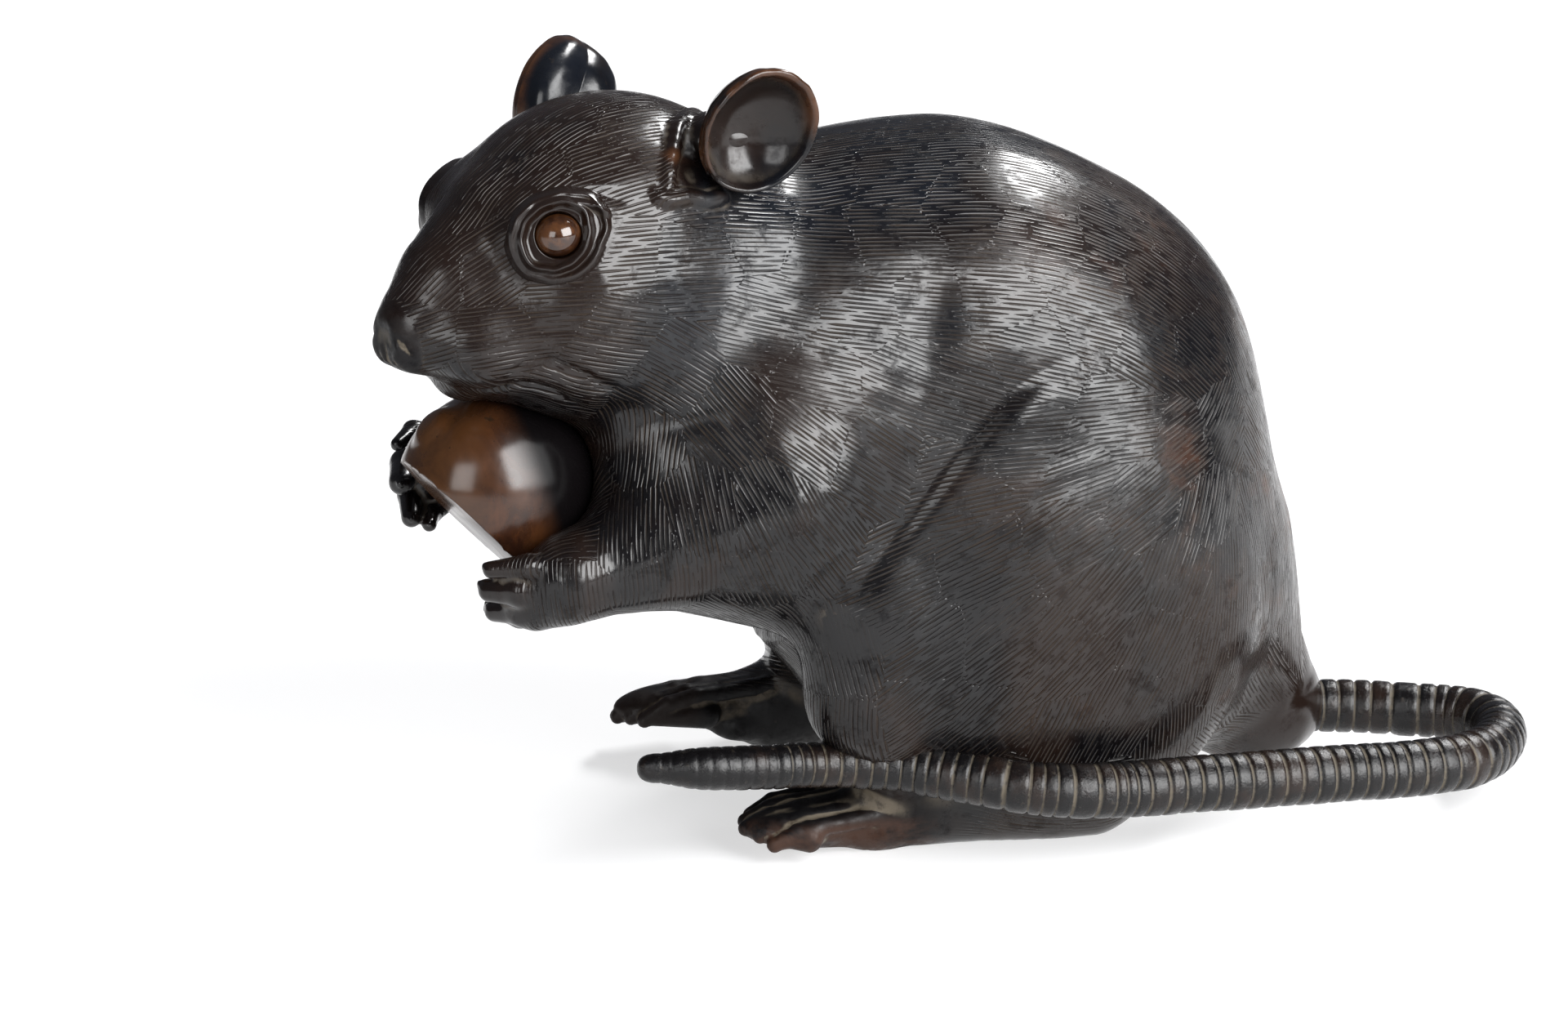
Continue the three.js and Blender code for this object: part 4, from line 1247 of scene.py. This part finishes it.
# Colours of the polished chestnut; its side towards the chest gets painted shade
nutColours = {"dark": (0.014, 0.0050, 0.0026, 1), "red": (0.040, 0.0145, 0.0050, 1),
              "streak": (0.070, 0.023, 0.007, 1), "orange": (0.060, 0.025, 0.007, 1),
              "blemish": (0.010, 0.007, 0.004, 1), "paintedShade": (0.0022, 0.0018, 0.0020, 1),
              "speck": (0.004, 0.003, 0.003, 1)}


def polishedChestnut():
    material, tree, shader, place = newMaterial("red_brown_bronze_polished")
    stretched = nodeIn(tree, "Mapping", Vector=place, Rotation=(0.3, 0.8, 0), Scale=(1, 1, 0.35)).outputs[0]
    streaks = noiseOf(tree, stretched, 200.0, 6.0, 0.65)
    clouds = noiseOf(tree, place, 85.0, 5.0, 0.62, 0.5)
    specks = noiseOf(tree, place, 900.0, 3.0, 0.6)
    x, _, z = nodeIn(tree, "SeparateXYZ", Vector=place).outputs
    orange = times(tree, ramp(tree, x, -0.070, -0.082), ramp(tree, clouds, 0.3, 0.55))
    blemish = ramp(tree, noiseOf(tree, place, 130.0, 3.0, 0.6, 0.8), 0.66, 0.72)
    # Painted shade: the side towards the chest is painted near-black and its shine cut, standing in for
    # shade and the dark reflection of the chest
    paintedShade = ramp(tree, mathIn(tree, "MULTIPLY_ADD", z, 0.3, x), -0.0525, -0.0465)
    layers = [
        (ramp(tree, clouds, 0.38, 0.64), "red"),
        (times(tree, ramp(tree, streaks, 0.52, 0.72), 0.5), "streak"),
        (times(tree, orange, 0.55), "orange"),
        (times(tree, blemish, 0.7), "blemish"),
        (paintedShade, "paintedShade"),
        (times(tree, ramp(tree, specks, 0.68, 0.76), 0.5), "speck"),
    ]
    colour = nutColours["dark"]
    for amount, name in layers:
        colour = mixColour(tree, amount, colour, nutColours[name])
    link(tree, colour, shader.inputs["Base Color"])
    link(tree, ramp(tree, streaks, 0.3, 0.8, 0.16, 0.28), shader.inputs["Roughness"])
    link(tree, mixValue(tree, paintedShade, 0.5, 0.05), shader.inputs["Specular IOR Level"])
    bump = nodeIn(tree, "Bump", Height=streaks, Distance=0.00004, Strength=0.35)
    link(tree, bump.outputs[0], shader.inputs["Normal"])
    return material


eyeColours = {"dark": (0.020, 0.0075, 0.0035, 1), "red": (0.060, 0.023, 0.008, 1)}


def polishedEye():
    material, tree, shader, place = newMaterial("red_brown_eye")
    clouds = noiseOf(tree, place, 400.0, 4.0)
    colour = mixColour(tree, ramp(tree, clouds, 0.38, 0.62), eyeColours["dark"], eyeColours["red"])
    link(tree, colour, shader.inputs["Base Color"])
    link(tree, ramp(tree, clouds, 0.3, 0.8, 0.08, 0.2), shader.inputs["Roughness"])
    shader.inputs["Specular IOR Level"].default_value = 0.7
    return material


print("materials")
combedBronze, redEye = furBronze(), polishedEye()
finishes = [(piece, combedBronze) for piece in (rat, earLeft, earRight, lidLeft, lidRight)]
finishes += [(eyeLeft, redEye), (eyeRight, redEye), (tailPiece, tailBronze())]
finishes.append((chestnut, polishedChestnut()))
for piece, material in finishes:
    piece.data.materials.clear()
    piece.data.materials.append(material)
    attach(piece, "root")
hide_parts("rat")
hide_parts("chestnut")


# The camera stands where the photograph's did.
view = {"azimuth": -17, "elevation": 15, "distance": 0.85, "lookAt": (0, 0, 47.2), "lens": 132}


def directionFrom(azimuth, elevation):
    a, e = math.radians(azimuth), math.radians(elevation)
    return Vector((math.sin(a) * math.cos(e), -math.cos(a) * math.cos(e), math.sin(e)))


def addCamera():
    back = directionFrom(view["azimuth"], view["elevation"])
    deselectAll()
    bpy.ops.object.camera_add(location=Vector(toFrame(view["lookAt"])) + back * view["distance"],
                              rotation=back.to_track_quat("Z", "Y").to_euler())
    camera = bpy.context.object
    camera.data.lens = view["lens"]
    camera.data.sensor_width = 36
    camera.data.sensor_fit = "HORIZONTAL"
    camera.data.clip_start = 0.01
    bpy.context.scene.camera = camera


# Softboxes: which way from the piece they stand, how far off, how wide and high, and how strong
softboxes = {
    "mainWindow": {"way": (0.463, -0.770, 0.438), "far": 2.4, "size": (2.0, 1.75), "turn": 0, "watts": 145},
    "leftWindow": {"way": (-0.640, -0.700, 0.316), "far": 2.4, "size": (1.1, 1.2), "turn": 0, "watts": 19},
    "rearStrip": {"way": (0.585, 0.351, 0.731), "far": 2.2, "size": (0.35, 1.2), "turn": 50, "watts": 45},
}
studio = {"world": 0.13, "floor": (0.42, 0.42, 0.425, 1), "glow": 0.6}


def addLights():
    for name, box in softboxes.items():
        way = Vector(box["way"]).normalized()
        deselectAll()
        bpy.ops.object.light_add(type="AREA", location=Vector((0, 0, 0.05)) + way * box["far"],
                                 rotation=way.to_track_quat("Z", "Y").to_euler())
        light = bpy.context.object
        light.rotation_euler.rotate_axis("Z", math.radians(box["turn"]))
        light.name = name
        light.data.shape = "RECTANGLE"
        light.data.size, light.data.size_y = box["size"]
        light.data.energy = box["watts"]
    world = bpy.data.worlds.new("studio")
    bpy.context.scene.world = world
    world.use_nodes = True
    background = world.node_tree.nodes["Background"]
    background.inputs["Color"].default_value = (0.86, 0.88, 1.0, 1)
    background.inputs["Strength"].default_value = studio["world"]


def addFloor():
    deselectAll()
    bpy.ops.mesh.primitive_plane_add(size=12, location=(0, 0, 0))
    floor = bpy.context.object
    floor.name = "floor"
    material, _, shader, _ = newMaterial("pale_floor")
    shader.inputs["Base Color"].default_value = studio["floor"]
    shader.inputs["Roughness"].default_value = 0.7
    shader.inputs["Emission Color"].default_value = (1, 1, 1, 1)
    shader.inputs["Emission Strength"].default_value = studio["glow"]
    floor.data.materials.append(material)


print("studio")
addCamera()
addLights()
addFloor()
bpy.context.scene.view_settings.view_transform = "Standard"
